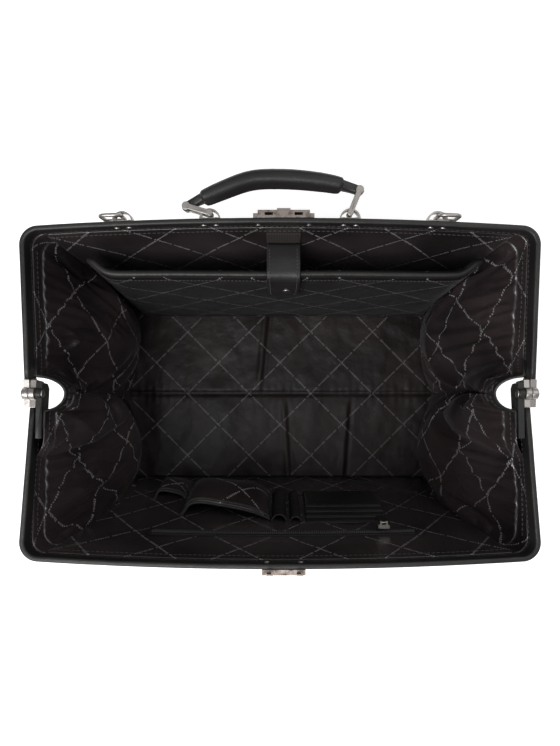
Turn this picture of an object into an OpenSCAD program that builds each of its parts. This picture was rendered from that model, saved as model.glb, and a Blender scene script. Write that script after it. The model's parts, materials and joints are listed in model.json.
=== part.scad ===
// Doctor bag with a two-part hinged frame, shown with its mouth wide open.
// Origin: middle of the underside, on the ground. +X runs along the mouth, +Y towards the
// handle side, +Z up. The two frame halves turn about one axis along X, at hinge_z.

/* [Bag] */
// Length of the base
base_l = 430; // [380:5:520]
// Width of the base
base_w = 236; // [200:2:300]
// Height of the frame's hinge axis above the ground, bag open
hinge_z = 287; // [250:1:340]
// Thickness of the outer leather
leather_t = 2.4; // [1.5:0.1:3.5]
// Thickness of the lining
lining_t = 1.2; // [0.8:0.1:2]
// Thickness of the stiff board in the base
board_t = 3; // [2:0.5:5]
// Height of the feet
foot_h = 3.5; // [2:0.5:8]
// Diameter of the feet
foot_d = 14; // [8:1:20]

/* [Frame] */
// Width of the frame over its two arms
frame_w = 456; // [410:2:540]
// Reach of each frame half from the hinge axis to its outer face, at the corners
frame_reach = 147; // [130:1:180]
// How far the long side bows out in its middle
frame_bow = 6.5; // [0:0.5:12]
// Thickness of a frame half with its leather
frame_t = 4.5; // [3.5:0.1:7]
// Height of a frame half
frame_h = 17; // [14:0.5:24]
// Outer radius of the frame's corners
frame_corner_r = 17; // [10:1:30]
// Thickness of the steel strip inside the frame
steel_t = 1.9; // [1.2:0.1:3]
// Leather left above and below the steel strip
steel_margin = 1.6; // [1:0.1:3]
// Upward slope of each open frame half, in degrees
frame_tilt = 5; // [0:0.5:8]
// Distance between the hinge axis and the frame's rim
rim_drop = 0.2; // [0.1:0.1:0.6]

/* [Hinge] */
// Reach of the metal end caps on each side of the hinge axis
cap_reach = 12.5; // [10:0.5:18]
// Thickness of an end cap
cap_t = 5.3; // [4:0.1:7]
// Radius of the lug round the hinge rivet
lug_r = 5.4; // [4.8:0.2:9]
// Radius of the hinge rivet
rivet_r = 2.2; // [1.6:0.1:3]
// Radius of the hinge rivet's heads
rivet_head_r = 3.6; // [3:0.1:6]
// Running clearance of rivets and pins
run_clear = 0.05; // [0.03:0.01:0.1]

/* [Handle] */
// Distance of each handle loop from the middle
handle_loop_x = 61.6; // [50:0.2:75]
// Distance of each strap loop from the middle
strap_loop_x = 138.4; // [110:0.2:170]
// Outer radius of a loop
loop_r = 9.25; // [8:0.25:12]
// Thickness of a loop's metal strip
loop_t = 1.4; // [1:0.1:2]
// Width of a loop's metal strip
loop_w = 8; // [6:0.5:10]
// Spacing of the two rivets of a loop
loop_rivet_gap = 10.9; // [9:0.1:11.5]
// Distance between the two handle pins
handle_span = 152.4; // [140:0.2:170]
// Length of a shackle between its two pins
shackle_l = 21.4; // [18:0.2:26]
// Lean of the right shackle at rest, in degrees from upright
shackle_lean = 22; // [5:0.5:40]
// Radius of the shackle bars and pins
pin_r = 1.5; // [1.2:0.1:2]
// Rise of the grip's centre line over the line through its pins
grip_rise = 17; // [10:0.5:30]
// Thickness of the grip, out from the frame
grip_t = 13; // [10:0.5:18]
// Width of the grip
grip_w = 19; // [14:0.5:24]
// Length of the grip along its curve
grip_l = 128; // [100:1:140]
// Half the thickness of the strap rings' metal
ring_wire_r = 1.75; // [1.2:0.05:2.5]
// Height of a strap ring between the middles of its sides
ring_h = 22.5; // [16:0.5:30]
// Reach of a strap ring between the middles of its sides
ring_reach = 18; // [14:0.5:30]

/* [Lock] */
// Place of the lock along the frame
lock_x = 3.3; // [-20:0.1:20]
// Length of the lock case
lock_l = 53.6; // [46:0.2:70]
// Depth of the lock case, out from the frame
lock_d = 6.5; // [5.5:0.1:9]
// Distance of each prong from the middle of the lock
prong_x = 13; // [10:0.5:16]
// Travel of the lock's bolt
bolt_travel = 2.2; // [1.6:0.1:4]
// Length of the catch plate
catch_l = 38; // [34:1:50]

/* [Pockets] */
// Left end of the laptop pocket
laptop_x0 = -185; // [-195:1:-150]
// Right end of the laptop pocket
laptop_x1 = 194; // [150:1:196]
// Height of the laptop pocket's top edge, along the wall
laptop_top = 232; // [190:1:240]
// How far the laptop pocket's top stands off the lining
laptop_gap = 18.3; // [12:0.1:24]
// Thickness of the padded laptop pocket
laptop_t = 12; // [8:0.5:16]
// Width of the closing strap
strap_w = 32; // [25:1:40]
// Length of the closing strap below its fold
strap_l = 62; // [45:1:80]
// Height of the zip on the front wall, along the wall
zip_s = 214; // [200:1:235]
// Left end of the zip
zip_x0 = -128; // [-180:1:-100]
// Right end of the zip
zip_x1 = 134; // [118:1:180]
// Place of the zip's slider
slider_x = 104; // [-100:1:110]

/* [Hidden] */
$fn = 48;
ARC_STEPS = 8;
BOW_STEPS = 16;
fit = 0.2;

// Levels in the base
base_z = foot_h;
board_z = base_z + leather_t + fit;
floor_z = board_z + board_t + fit;
floor_top = floor_z + 2 * lining_t;
fold_z = 8;
base_corner_r = 18;
piping_r = 1.5;

// Hinge line between a wall and its frame half, in the frame's own axes and in the bag's
fold_u = frame_reach - frame_t / 2;
fold_v = -(frame_h + rim_drop);
fold_y = fold_u * cos(frame_tilt) - fold_v * sin(frame_tilt);
fold_top_z = hinge_z + fold_u * sin(frame_tilt) + fold_v * cos(frame_tilt);
wall_lean = atan2(fold_y - base_w / 2, fold_top_z - fold_z);
wall_l = norm([fold_y - base_w / 2, fold_top_z - fold_z]);
wall_gap = 6;
wall_top = wall_l - 11;
lining_n0 = leather_t / 2 + fit;
lining_n1 = lining_n0 + lining_t;

// Across the bag, from the frame's arms inwards
half_w = frame_w / 2;
cap_x1 = half_w + 0.6;
cap_x0 = cap_x1 - cap_t;
front_cap_x1 = cap_x0 - 0.3;
front_cap_x0 = front_cap_x1 - cap_t;
nest = frame_w / 2 - front_cap_x1 + 0.5;
leaf_x0 = front_cap_x0 - 5.5;
rivet_head_t = 2;
gusset_x1 = leaf_x0 - rivet_head_t - 2;
gusset_x0 = gusset_x1 - leather_t - 0.4;
gusset_lining_x0 = gusset_x0 - fit - lining_t - 0.4;
wall_half = gusset_lining_x0 - 0.6;
gusset_top = hinge_z - 39;

// Steel strip inside the frame's leather
steel_in = (frame_t - steel_t) / 2;
cover_start = cap_reach + fit;
mid_v = -rim_drop - frame_h / 2;

// Loops, shackles and handle, in the frame's own axes
bar_u = 5.2;
cheek_t = 2.2;
cheek_v = loop_w / 2 + 0.6;
cheek_r = 2.7;
ring_u = 4.6;
core_t = 2.6;
core_w = 8.4;
tab_t = 6.4;
tab_w = core_w;
right_pivot = [handle_loop_x, face_u(handle_loop_x) + bar_u];
left_pivot = [-right_pivot.x, right_pivot.y];
right_pin = right_pivot + shackle_l * [sin(shackle_lean), cos(shackle_lean)];
left_pin = meeting(left_pivot, shackle_l, right_pin, handle_span);
chord_angle = atan2(right_pin.y - left_pin.y, right_pin.x - left_pin.x);
left_lean = atan2(left_pivot.x - left_pin.x, left_pin.y - left_pivot.y);
grip_r = ((handle_span / 2) ^ 2 + grip_rise ^ 2) / (2 * grip_rise);
grip_span = 360 * grip_l / (2 * PI * grip_r);
pin_span = 2 * asin(handle_span / 2 / grip_r);

// Lock
lock_wall = 1.1;
lock_u0 = frame_reach + frame_bow + 0.1;
lock_h = frame_h - 0.6;
lock_v1 = -rim_drop - 0.2;
prong_w = 3.4;
prong_t = 1.6;
prong_u = lock_d / 2;
prong_up = 7.4;
barb = 1.6;
button_w = 12;
catch_d = 5;
catch_h = 14;

// Where two circles meet, on the left of the line from the first centre to the second
function meeting(a, ra, b, rb) =
    let (d = norm(b - a), t = (ra ^ 2 - rb ^ 2 + d ^ 2) / (2 * d),
         h = sqrt(ra ^ 2 - t ^ 2), e = (b - a) / d)
    a + t * e + h * [-e.y, e.x];

// Outer face of the long side at x, and its slope in degrees
function face_u(x) = frame_reach + frame_bow * (1 - (x / (half_w - frame_corner_r)) ^ 2);
function face_slope(x) = -atan(2 * frame_bow * x / (half_w - frame_corner_r) ^ 2);

// Arms that nest inside the other half's arms lean in by up to n at the hinge
function nested(p, n) = [p.x - sign(p.x) * n * max(0, 1 - p.y / (frame_reach - frame_corner_r)), p.y];

// U-shaped line of a frame half, this far inside its outer face, from one arm's end to the other's
function frame_line(inset, start, n) =
    let (c = half_w - frame_corner_r, r = frame_corner_r - inset, y = frame_reach - frame_corner_r)
    [for (p = concat(
        [[-half_w + inset, start]],
        [for (i = [0:ARC_STEPS]) let (a = 180 - 90 * i / ARC_STEPS) [-c + r * cos(a), y + r * sin(a)]],
        [for (i = [1:BOW_STEPS - 1]) let (x = c * (2 * i / BOW_STEPS - 1)) [x, face_u(x) - inset]],
        [for (i = [0:ARC_STEPS]) let (a = 90 - 90 * i / ARC_STEPS) [c + r * cos(a), y + r * sin(a)]],
        [[half_w - inset, start]])) nested(p, n)];

function reversed(l) = [for (i = [len(l) - 1:-1:0]) l[i]];

// Band between two insets of the U line, from v0 to v1
module frame_band(in0, in1, v0, v1, start, n) {
    translate([0, 0, v0])
        linear_extrude(v1 - v0)
            polygon(concat(frame_line(in0, start, n), reversed(frame_line(in1, start, n))));
}

// Frames' own axes: X along the hinge, Y out to the long side, Z towards the rim
module on_back_frame() {
    translate([0, 0, hinge_z]) rotate([frame_tilt, 0, 0]) children();
}

module on_front_frame() {
    mirror([0, 1, 0]) on_back_frame() children();
}

// Point on the outer face of the long side, turned square to it
module on_face(x) {
    translate([x, face_u(x), mid_v]) rotate([0, 0, face_slope(x)]) children();
}

// Walls' own axes: X along the wall, Y inwards from its middle, Z up along it
module on_back_wall() {
    translate([0, base_w / 2, fold_z]) rotate([-wall_lean, 0, 0]) mirror([0, 1, 0]) children();
}

module on_front_wall() {
    mirror([0, 1, 0]) on_back_wall() children();
}

// Prism with an outline in (inwards, up) that runs along X
module wall_profile(x0, x1, points) {
    translate([x0, 0, 0])
        rotate([90, 0, 90])
            linear_extrude(x1 - x0) polygon(points);
}

module rounded_plate(l, w, t, r) {
    linear_extrude(t) rounded_rect(l, w, r);
}

module rounded_rect(l, w, r) {
    square([l - 2 * r, w], center = true);
    square([l, w - 2 * r], center = true);
    for (x = [-1, 1], y = [-1, 1])
        translate([x * (l / 2 - r), y * (w / 2 - r)]) circle(r);
}

module both_sides() {
    children();
    mirror([1, 0, 0]) children();
}

// ---- Base ----

module foot_places() {
    for (p = [[0, 0], [-1, -1], [-1, 1], [1, -1], [1, 1]])
        translate([p.x * (base_l / 2 - 30), p.y * (base_w / 2 - 30), 0]) children();
}

foot_shank_r = 2;

module base_leather() {
    color([0.05, 0.05, 0.05])
        difference() {
            translate([0, 0, base_z]) rounded_plate(base_l, base_w, leather_t, base_corner_r);
            foot_places() translate([0, 0, base_z - 1]) cylinder(r = foot_shank_r + run_clear, h = leather_t + 2);
        }
}

module base_board() {
    color([0.25, 0.2, 0.16])
        difference() {
            translate([0, 0, board_z]) rounded_plate(2 * wall_half, base_w - 18, board_t, base_corner_r - 6);
            foot_places() translate([0, 0, board_z - 1]) cylinder(r = foot_shank_r + run_clear, h = board_t + 2);
        }
}

module base_piping() {
    color([0.04, 0.04, 0.04])
        translate([0, 0, base_z])
            linear_extrude(2 * piping_r)
                difference() {
                    rounded_rect(base_l + 4 * piping_r + fit, base_w + 4 * piping_r + fit, base_corner_r + 2 * piping_r);
                    rounded_rect(base_l + fit, base_w + fit, base_corner_r);
                }
}

module floor_lining() {
    color([0.18, 0.15, 0.15])
        translate([0, 0, floor_z]) rounded_plate(2 * wall_half, base_w - 18, 2 * lining_t, base_corner_r - 6);
}

module feet() {
    color([0.7, 0.69, 0.66])
        foot_places() {
            rotate_extrude()
                polygon(concat(
                    [[0, 0], [foot_d / 2 - foot_h, 0]],
                    [for (i = [1:ARC_STEPS]) let (a = 90 * i / ARC_STEPS)
                        [foot_d / 2 - foot_h + foot_h * sin(a), foot_h - foot_h * cos(a)]],
                    [[0, foot_h]]));
            cylinder(r = foot_shank_r, h = floor_z - fit / 2);
        }
}

// ---- Side gussets ----

function gusset_outline() = [
    [-base_w / 2 + 4, base_z + leather_t + fit], [base_w / 2 - 4, base_z + leather_t + fit],
    [base_w / 2 + tan(wall_lean) * (gusset_top - fold_z) - 4, gusset_top],
    [-base_w / 2 - tan(wall_lean) * (gusset_top - fold_z) + 4, gusset_top]
];

module gusset_sheet(x0, x1) {
    translate([x0, 0, 0]) rotate([90, 0, 90]) linear_extrude(x1 - x0) polygon(gusset_outline());
}

module gusset_right() { color([0.06, 0.06, 0.06]) gusset_sheet(gusset_x0, gusset_x1); }

module gusset_left() { color([0.06, 0.06, 0.06]) mirror([1, 0, 0]) gusset_sheet(gusset_x0, gusset_x1); }

module gusset_lining_right() { color([0.2, 0.16, 0.17]) gusset_sheet(gusset_lining_x0, gusset_x0 - fit); }

module gusset_lining_left() {
    color([0.2, 0.16, 0.17]) mirror([1, 0, 0]) gusset_sheet(gusset_lining_x0, gusset_x0 - fit);
}

// ---- Back wall with the laptop pocket ----

module wall_sheet(n0, n1) {
    wall_profile(-wall_half, wall_half, [[n0, wall_gap], [n1, wall_gap], [n1, wall_top], [n0, wall_top]]);
}

laptop_foot = 22;

// Inner face of the laptop pocket's panel at height s along the wall
function laptop_inner(s) = lining_n1 + 0.1 + laptop_gap * (s - laptop_foot - 12) / (laptop_top - laptop_foot - 12);

module back_wall() {
    color([0.05, 0.05, 0.05]) on_back_wall() wall_sheet(-leather_t / 2, leather_t / 2);
}

module back_lining() {
    color([0.2, 0.16, 0.17]) on_back_wall() wall_sheet(lining_n0, lining_n1);
}

module laptop_pocket() {
    color([0.14, 0.12, 0.12])
        on_back_wall()
            wall_profile(laptop_x0, laptop_x1, [
                [lining_n1 + 0.1, laptop_foot], [lining_n1 + laptop_t + 2, laptop_foot],
                [laptop_inner(laptop_top) + laptop_t, laptop_top], [laptop_inner(laptop_top), laptop_top],
                [lining_n1 + 0.1, laptop_foot + 12]]);
}

binding_h = 6;

module laptop_binding() {
    n0 = laptop_inner(laptop_top);
    color([0.05, 0.05, 0.05])
        on_back_wall()
            wall_profile(laptop_x0, laptop_x1, [
                [n0, laptop_top + 0.1], [n0 + laptop_t, laptop_top + 0.1],
                [n0 + laptop_t - 2, laptop_top + binding_h], [n0 + 2, laptop_top + binding_h]]);
}

module loop_patch() {
    color([0.12, 0.11, 0.11])
        on_back_wall()
            wall_profile(lock_x - strap_w / 2, lock_x + strap_w / 2, [
                [lining_n1 + 0.1, laptop_top + 6], [lining_n1 + 1.8, laptop_top + 6],
                [lining_n1 + 1.8, wall_top - 2], [lining_n1 + 0.1, wall_top - 2]]);
}

strap_t = 3;
strap_fold_s = laptop_top + binding_h + strap_t / 2 + 0.6;

// Front face of the laptop pocket at height s, and the strap that hangs over it
function laptop_face(s) = laptop_inner(s) + laptop_t + 1.2;

// Sewn part of the strap, over the pocket's mouth
module strap_root() {
    n1 = laptop_face(laptop_top) - 0.15;
    color([0.04, 0.04, 0.04])
        on_back_wall()
            wall_profile(lock_x - strap_w / 2, lock_x + strap_w / 2, [
                [laptop_inner(laptop_top) - 8, strap_fold_s - strap_t / 2], [n1, strap_fold_s - strap_t / 2],
                [n1, strap_fold_s + strap_t / 2], [laptop_inner(laptop_top) - 8, strap_fold_s + strap_t / 2]]);
}

// Hanging part of the strap, with the round knuckle that it bends about
module strap_tab() {
    n0 = laptop_face(laptop_top);
    n1 = laptop_face(strap_fold_s - strap_l);
    knuckle = [for (a = [0:15:180]) [n0 + strap_t / 2 + strap_t / 2 * cos(a), strap_fold_s + strap_t / 2 * sin(a)]];
    color([0.04, 0.04, 0.04])
        on_back_wall()
            difference() {
                wall_profile(lock_x - strap_w / 2, lock_x + strap_w / 2,
                    concat(knuckle, [[n1, strap_fold_s - strap_l], [n1 + strap_t, strap_fold_s - strap_l]]));
                snap_place() translate([0, 0, -6]) cylinder(r = snap_r + run_clear, h = 12);
            }
}

snap_r = 2;

module snap_place() {
    s = strap_fold_s - strap_l * 0.62;
    translate([lock_x + strap_w * 0.1, laptop_face(s) + strap_t - 0.05, s]) rotate([-90, 0, 0]) children();
}

module strap_snap() {
    color([0.75, 0.74, 0.72])
        on_back_wall()
            snap_place() {
                translate([0, 0, 0.4]) cylinder(r1 = 5, r2 = 3.6, h = 1.4, $fn = 40);
                translate([0, 0, -strap_t + 0.2]) cylinder(r = snap_r, h = strap_t + 0.3);
            }
}

// ---- Front wall with the organiser ----

module front_wall() {
    color([0.05, 0.05, 0.05]) on_front_wall() wall_sheet(-leather_t / 2, leather_t / 2);
}

module front_lining() {
    color([0.2, 0.16, 0.17]) on_front_wall() wall_sheet(lining_n0, lining_n1);
}

zip_w = 15;
tape_t = 0.7;
teeth_w = 5;
teeth_t = 1.4;
tape_n1 = lining_n1 + 0.1 + tape_t;

module zip_tape() {
    color([0.07, 0.07, 0.07])
        on_front_wall()
            wall_profile(zip_x0 - 6, zip_x1 + 6, [
                [lining_n1 + 0.1, zip_s - zip_w / 2], [tape_n1, zip_s - zip_w / 2],
                [tape_n1, zip_s + zip_w / 2], [lining_n1 + 0.1, zip_s + zip_w / 2]]);
}

module zip_teeth() {
    color([0.1, 0.1, 0.1])
        on_front_wall()
            wall_profile(zip_x0, zip_x1, [
                [tape_n1, zip_s - teeth_w / 2], [tape_n1 + teeth_t, zip_s - teeth_w / 2],
                [tape_n1 + teeth_t, zip_s + teeth_w / 2], [tape_n1, zip_s + teeth_w / 2]]);
}

slider_l = 11;
slider_w = 8;
slider_t = 3.6;
slider_n = tape_n1 + teeth_t + 0.3;
puller_eye_r = 0.8;
puller_eye_n = slider_n + slider_t + 1.6;
puller_l = 21;

module zip_slider() {
    color([0.75, 0.75, 0.74])
        on_front_wall()
            translate([slider_x, 0, zip_s]) {
                translate([-slider_l / 2, slider_n, -slider_w / 2]) cube([slider_l, slider_t, slider_w]);
                for (x = [-1, 1])
                    translate([x * 3 - 0.8, slider_n + slider_t - 0.1, -2]) cube([1.6, 3.4, 4]);
                translate([-3, puller_eye_n, 0]) rotate([0, 90, 0]) cylinder(r = puller_eye_r, h = 6, $fn = 24);
            }
}

module zip_puller() {
    color([0.06, 0.06, 0.06])
        on_front_wall()
            translate([slider_x, puller_eye_n, zip_s])
                difference() {
                    union() {
                        rotate([0, 90, 0]) translate([0, 0, -1.8]) cylinder(r = 1.6, h = 3.6, $fn = 32);
                        translate([-1.8, -1.2, -8]) cube([3.6, 2.4, 8]);
                        translate([-4.5, -1.2, -puller_l]) cube([9, 2.4, puller_l - 6]);
                    }
                    rotate([0, 90, 0]) translate([0, 0, -4]) cylinder(r = puller_eye_r + run_clear, h = 8, $fn = 24);
                }
}

card_x0 = 27.5;
card_x1 = 115;
card_s0 = 81;
card_s1 = 181;
card_step = 15;
card_step_t = 1.1;

module card_holder() {
    n = lining_n1 + 0.1;
    color([0.05, 0.05, 0.05])
        on_front_wall()
            wall_profile(card_x0, card_x1, concat(
                [[n, card_s0], [n + 4 * card_step_t, card_s0]],
                [for (i = [0:3], e = [0, 1])
                    [n + (4 - i - e) * card_step_t + (i == 3 && e == 1 ? 0.1 : 0), card_s1 - (3 - i) * card_step]]));
}

pen_s0 = 84;
pen_s1 = 180;
pen_wall = 1.5;

module pen_loops() {
    n = lining_n1 + 0.1;
    color([0.06, 0.06, 0.06])
        on_front_wall()
            for (p = [[-1, 8], [16.5, 6]])
                translate([p[0], n, pen_s0])
                    linear_extrude(pen_s1 - pen_s0)
                        difference() {
                            intersection() {
                                circle(p[1]);
                                translate([-p[1], 0]) square([2 * p[1], p[1]]);
                            }
                            circle(p[1] - pen_wall);
                        }
}

// Slack pocket: a front panel that leans off the lining, from its foot to its mouth
module slack_pocket(x0, x1, s0, s1, gap, t) {
    n = lining_n1 + 0.1;
    wall_profile(x0, x1, [[n, s0], [n + t, s0], [n + gap + t, s1], [n + gap, s1], [n, s0 + t]]);
}

module phone_pocket() { color([0.15, 0.12, 0.13]) on_front_wall() slack_pocket(-110, -12, 64, 172, 19, 3); }

module small_pocket() { color([0.15, 0.12, 0.13]) on_front_wall() slack_pocket(-150, -114, 29, 103, 10, 2.4); }

// ---- Frame halves ----

module steel_band(n, clear) {
    frame_band(steel_in - clear, steel_in + steel_t + clear,
        -rim_drop - frame_h + steel_margin - clear, -rim_drop - steel_margin + clear,
        -cap_reach + 1 - clear, n);
}

module cover_band(n) {
    difference() {
        frame_band(0, frame_t, -rim_drop - frame_h, -rim_drop, cover_start, n);
        steel_band(n, run_clear);
    }
}

// Metal end cap of one arm with the lug round the hinge axis, from x0 to x1
module arm_cap(x0, x1) {
    translate([x0, 0, 0])
        rotate([90, 0, 90])
            linear_extrude(x1 - x0) {
                translate([-cap_reach, -rim_drop - frame_h - 0.3]) square([2 * cap_reach, frame_h + 0.3]);
                circle(lug_r);
            }
}

module along_hinge(x0, x1, r) {
    translate([x0, 0, 0]) rotate([0, 90, 0]) cylinder(r = r, h = x1 - x0);
}

module hinge_drill() {
    along_hinge(-frame_w, frame_w, rivet_r + run_clear);
}

module face_drills() {
    for (x = [handle_loop_x, strap_loop_x], side = [-1, 1], e = [-1, 1])
        on_face(side * x)
            translate([e * loop_rivet_gap / 2, -2 * frame_t, 0])
                rotate([-90, 0, 0]) cylinder(r = loop_rivet_r + run_clear, h = 3 * frame_t, $fn = 32);
}

lock_rivet_x = lock_l / 2 - 4.5;
loop_rivet_r = 1.6;
rivet_tail_r = 2.3;

module lock_drills() {
    for (e = [-1, 1])
        translate([lock_x + e * lock_rivet_x, lock_u0 - 2 * frame_t, mid_v])
            rotate([-90, 0, 0]) cylinder(r = loop_rivet_r + run_clear, h = 3 * frame_t, $fn = 32);
}

catch_rivet_x = catch_l / 2 - 4;

module catch_drills() {
    for (e = [-1, 1])
        translate([lock_x + e * catch_rivet_x, lock_u0 - 2 * frame_t, mid_v])
            rotate([-90, 0, 0]) cylinder(r = loop_rivet_r + run_clear, h = 3 * frame_t, $fn = 32);
}

module back_steel() {
    color([0.6, 0.6, 0.62])
        on_back_frame() difference() { steel_band(0, 0); face_drills(); lock_drills(); hinge_drill(); }
}

module back_cover() {
    color([0.04, 0.04, 0.04])
        on_back_frame() difference() { cover_band(0); face_drills(); lock_drills(); }
}

module back_caps() {
    color([0.72, 0.71, 0.7])
        on_back_frame()
            both_sides()
                difference() {
                    arm_cap(cap_x0, cap_x1);
                    steel_band(0, run_clear);
                    along_hinge(cap_x0 - 1, cap_x1 + 1, rivet_r);
                }
}

module hinge_rivets() {
    color([0.8, 0.79, 0.78])
        on_back_frame()
            both_sides() {
                along_hinge(leaf_x0 - rivet_head_t, leaf_x0 - 0.2, rivet_head_r);
                along_hinge(leaf_x0 - rivet_head_t, cap_x1 + 1, rivet_r);
                along_hinge(cap_x1, cap_x1 + 1.4, rivet_head_r);
            }
}

module front_steel() {
    color([0.6, 0.6, 0.62])
        on_front_frame() difference() { steel_band(nest, 0); catch_drills(); hinge_drill(); }
}

module front_cover() {
    color([0.04, 0.04, 0.04]) on_front_frame() difference() { cover_band(nest); catch_drills(); }
}

module front_caps() {
    color([0.72, 0.71, 0.7])
        on_front_frame()
            both_sides()
                difference() {
                    arm_cap(front_cap_x0, front_cap_x1);
                    steel_band(nest, run_clear);
                    along_hinge(front_cap_x0 - 1, front_cap_x1 + 1, rivet_r + run_clear);
                }
}

leaf_tail = 10;
leaf_reach = 40;
leaf_cut = 4;

module hinge_leaves() {
    color([0.05, 0.05, 0.05])
        on_front_frame()
            both_sides()
                difference() {
                    translate([leaf_x0, 0, 0])
                        rotate([90, 0, 90])
                            linear_extrude(front_cap_x0 - leaf_x0 - 0.1) {
                                polygon([
                                    [-leaf_tail + leaf_cut, -frame_h], [leaf_reach, -frame_h + 2],
                                    [leaf_reach, -rim_drop - 2], [0, -rim_drop], [-leaf_tail, -rim_drop],
                                    [-leaf_tail, -frame_h + leaf_cut]]);
                                circle(lug_r - 1);
                            }
                    along_hinge(leaf_x0 - 1, front_cap_x0 + 1, rivet_r + run_clear);
                }
}

// ---- Loops and rivets on the back half ----

module face_loop() {
    translate([0, 0, -loop_w / 2])
        linear_extrude(loop_w)
            difference() {
                intersection() {
                    translate([0, loop_t / 2 - 0.6]) circle(loop_r);
                    translate([-loop_r, 0.1]) square([2 * loop_r, 2 * loop_r]);
                }
                difference() {
                    circle(loop_r - loop_t);
                    translate([-loop_r, -loop_r]) square([2 * loop_r, loop_r + loop_t]);
                }
            }
}

module loop_bores() {
    for (e = [-1, 1])
        translate([e * loop_rivet_gap / 2, -1, 0])
            rotate([-90, 0, 0]) {
                cylinder(r = loop_rivet_r + run_clear, h = loop_t + 1.5, $fn = 32);
                translate([0, 0, loop_t + 1]) cylinder(r = rivet_tail_r + 0.1, h = 1.2, $fn = 32);
            }
}

module drilled_loops(x) {
    color([0.66, 0.65, 0.63])
        on_back_frame()
            for (side = [-1, 1])
                on_face(side * x) difference() { face_loop(); loop_bores(); }
}

module handle_loops() { drilled_loops(handle_loop_x); }

module strap_loops() { drilled_loops(strap_loop_x); }

module rivet(inner, outer) {
    rotate([-90, 0, 0]) {
        translate([0, 0, -inner - 1]) cylinder(r = 2.7, h = 1, $fn = 32);
        translate([0, 0, -inner - 0.5]) cylinder(r = loop_rivet_r, h = inner + outer + 1, $fn = 32);
        translate([0, 0, outer]) cylinder(r = rivet_tail_r, h = 0.8, $fn = 32);
    }
}

module loop_rivets() {
    color([0.7, 0.69, 0.68])
        on_back_frame()
            for (x = [handle_loop_x, strap_loop_x], side = [-1, 1], e = [-1, 1])
                on_face(side * x)
                    translate([e * loop_rivet_gap / 2, 0, 0]) rivet(frame_t + 0.05, loop_t + 0.1);
}

// ---- Handle ----

// Frame's own axes with the origin on a handle pin or bar
module at_pin(p) {
    on_back_frame() translate([p.x, p.y, mid_v]) children();
}

module upright_rod(r, h) {
    translate([0, 0, -h / 2]) cylinder(r = r, h = h, $fn = 40);
}

bar_l = 2 * (cheek_v + cheek_t) + 1.4;

module shackle_bar() {
    upright_rod(pin_r, bar_l);
    for (s = [-1, 1])
        translate([0, 0, s * (bar_l / 2 - 0.35)]) upright_rod(pin_r + 0.9, 0.7);
}

// Two cheeks that join the bar at the origin to the pin at the other end
module shackle(lean) {
    rotate([0, 0, -lean])
        for (s = [-1, 1])
            translate([0, 0, s > 0 ? cheek_v : -cheek_v - cheek_t])
                linear_extrude(cheek_t)
                    difference() {
                        union() {
                            circle(cheek_r);
                            translate([0, shackle_l]) circle(cheek_r + 0.8);
                            translate([-cheek_r + 0.4, 0]) square([2 * cheek_r - 0.8, shackle_l]);
                        }
                        circle(pin_r + run_clear);
                        translate([0, shackle_l]) circle(pin_r + run_clear);
                    }
}

module right_bar() { color([0.7, 0.69, 0.67]) at_pin(right_pivot) shackle_bar(); }

module left_bar() { color([0.7, 0.69, 0.67]) at_pin(left_pivot) shackle_bar(); }

module right_shackle() { color([0.66, 0.65, 0.63]) at_pin(right_pivot) shackle(shackle_lean); }

module left_shackle() { color([0.66, 0.65, 0.63]) at_pin(left_pivot) shackle(-left_lean); }

module right_handle_pin() { color([0.76, 0.75, 0.74]) at_pin(right_pin) shackle_bar(); }

module left_handle_pin() { color([0.76, 0.75, 0.74]) at_pin(left_pin) shackle_bar(); }

// Origin at the centre of the grip's arc, with X along the chord of its pins
module on_grip_arc() {
    on_back_frame()
        translate([(left_pin.x + right_pin.x) / 2, (left_pin.y + right_pin.y) / 2, mid_v])
            rotate([0, 0, chord_angle])
                translate([0, grip_rise - grip_r, 0]) children();
}

// Ring sector of this section's children, centred on the top of the arc
module grip_sector(angle) {
    rotate([0, 0, 90 - angle / 2]) rotate_extrude(angle = angle, $fn = 180) translate([grip_r, 0]) children();
}

module grip_section(t, w) {
    square([t, w - t], center = true);
    for (s = [-1, 1]) translate([0, s * (w - t) / 2]) circle(t / 2);
}

module handle_grip() {
    color([0.07, 0.07, 0.07])
        on_grip_arc()
            difference() {
                grip_sector(grip_span) grip_section(grip_t, grip_w);
                grip_sector(grip_span + 2) square([core_t + 0.1, core_w + 0.1], center = true);
            }
}

module handle_tabs() {
    color([0.06, 0.06, 0.06])
        on_grip_arc()
            difference() {
                grip_sector(pin_span - 3.4) square([tab_t, tab_w], center = true);
                grip_sector(pin_span) square([core_t + 0.1, core_w + 0.1], center = true);
                grip_sector(grip_span + 0.1) square([grip_t + 4, grip_w + 4], center = true);
            }
}

eye_r = 3.4;

module handle_core() {
    color([0.62, 0.62, 0.64]) {
        on_grip_arc() grip_sector(pin_span - 2 * asin(eye_r * 0.9 / grip_r)) square([core_t, core_w], center = true);
        for (p = [left_pin, right_pin])
            at_pin(p)
                difference() {
                    upright_rod(eye_r, core_w);
                    upright_rod(pin_r + run_clear, core_w + 1);
                }
    }
}

// ---- Strap rings ----

ring_corner = 5;

// Ring in the plane of X and Z, with one upright side on the Z axis
module wire_ring() {
    w = ring_wire_r;
    straight = ring_h + 2 * w - 2 * ring_corner;
    difference() {
        translate([ring_reach / 2, w, 0])
            rotate([90, 0, 0])
                linear_extrude(2 * w)
                    difference() {
                        rounded_rect(ring_reach + 2 * w, ring_h + 2 * w, ring_corner);
                        rounded_rect(ring_reach - 2 * w, ring_h - 2 * w, ring_corner - 2 * w);
                    }
        translate([-w - 0.1, -w - 0.1, -straight / 2]) cube([2 * w + 0.2, 2 * w + 0.2, straight]);
    }
    upright_rod(w, straight + 0.4);
}

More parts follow.
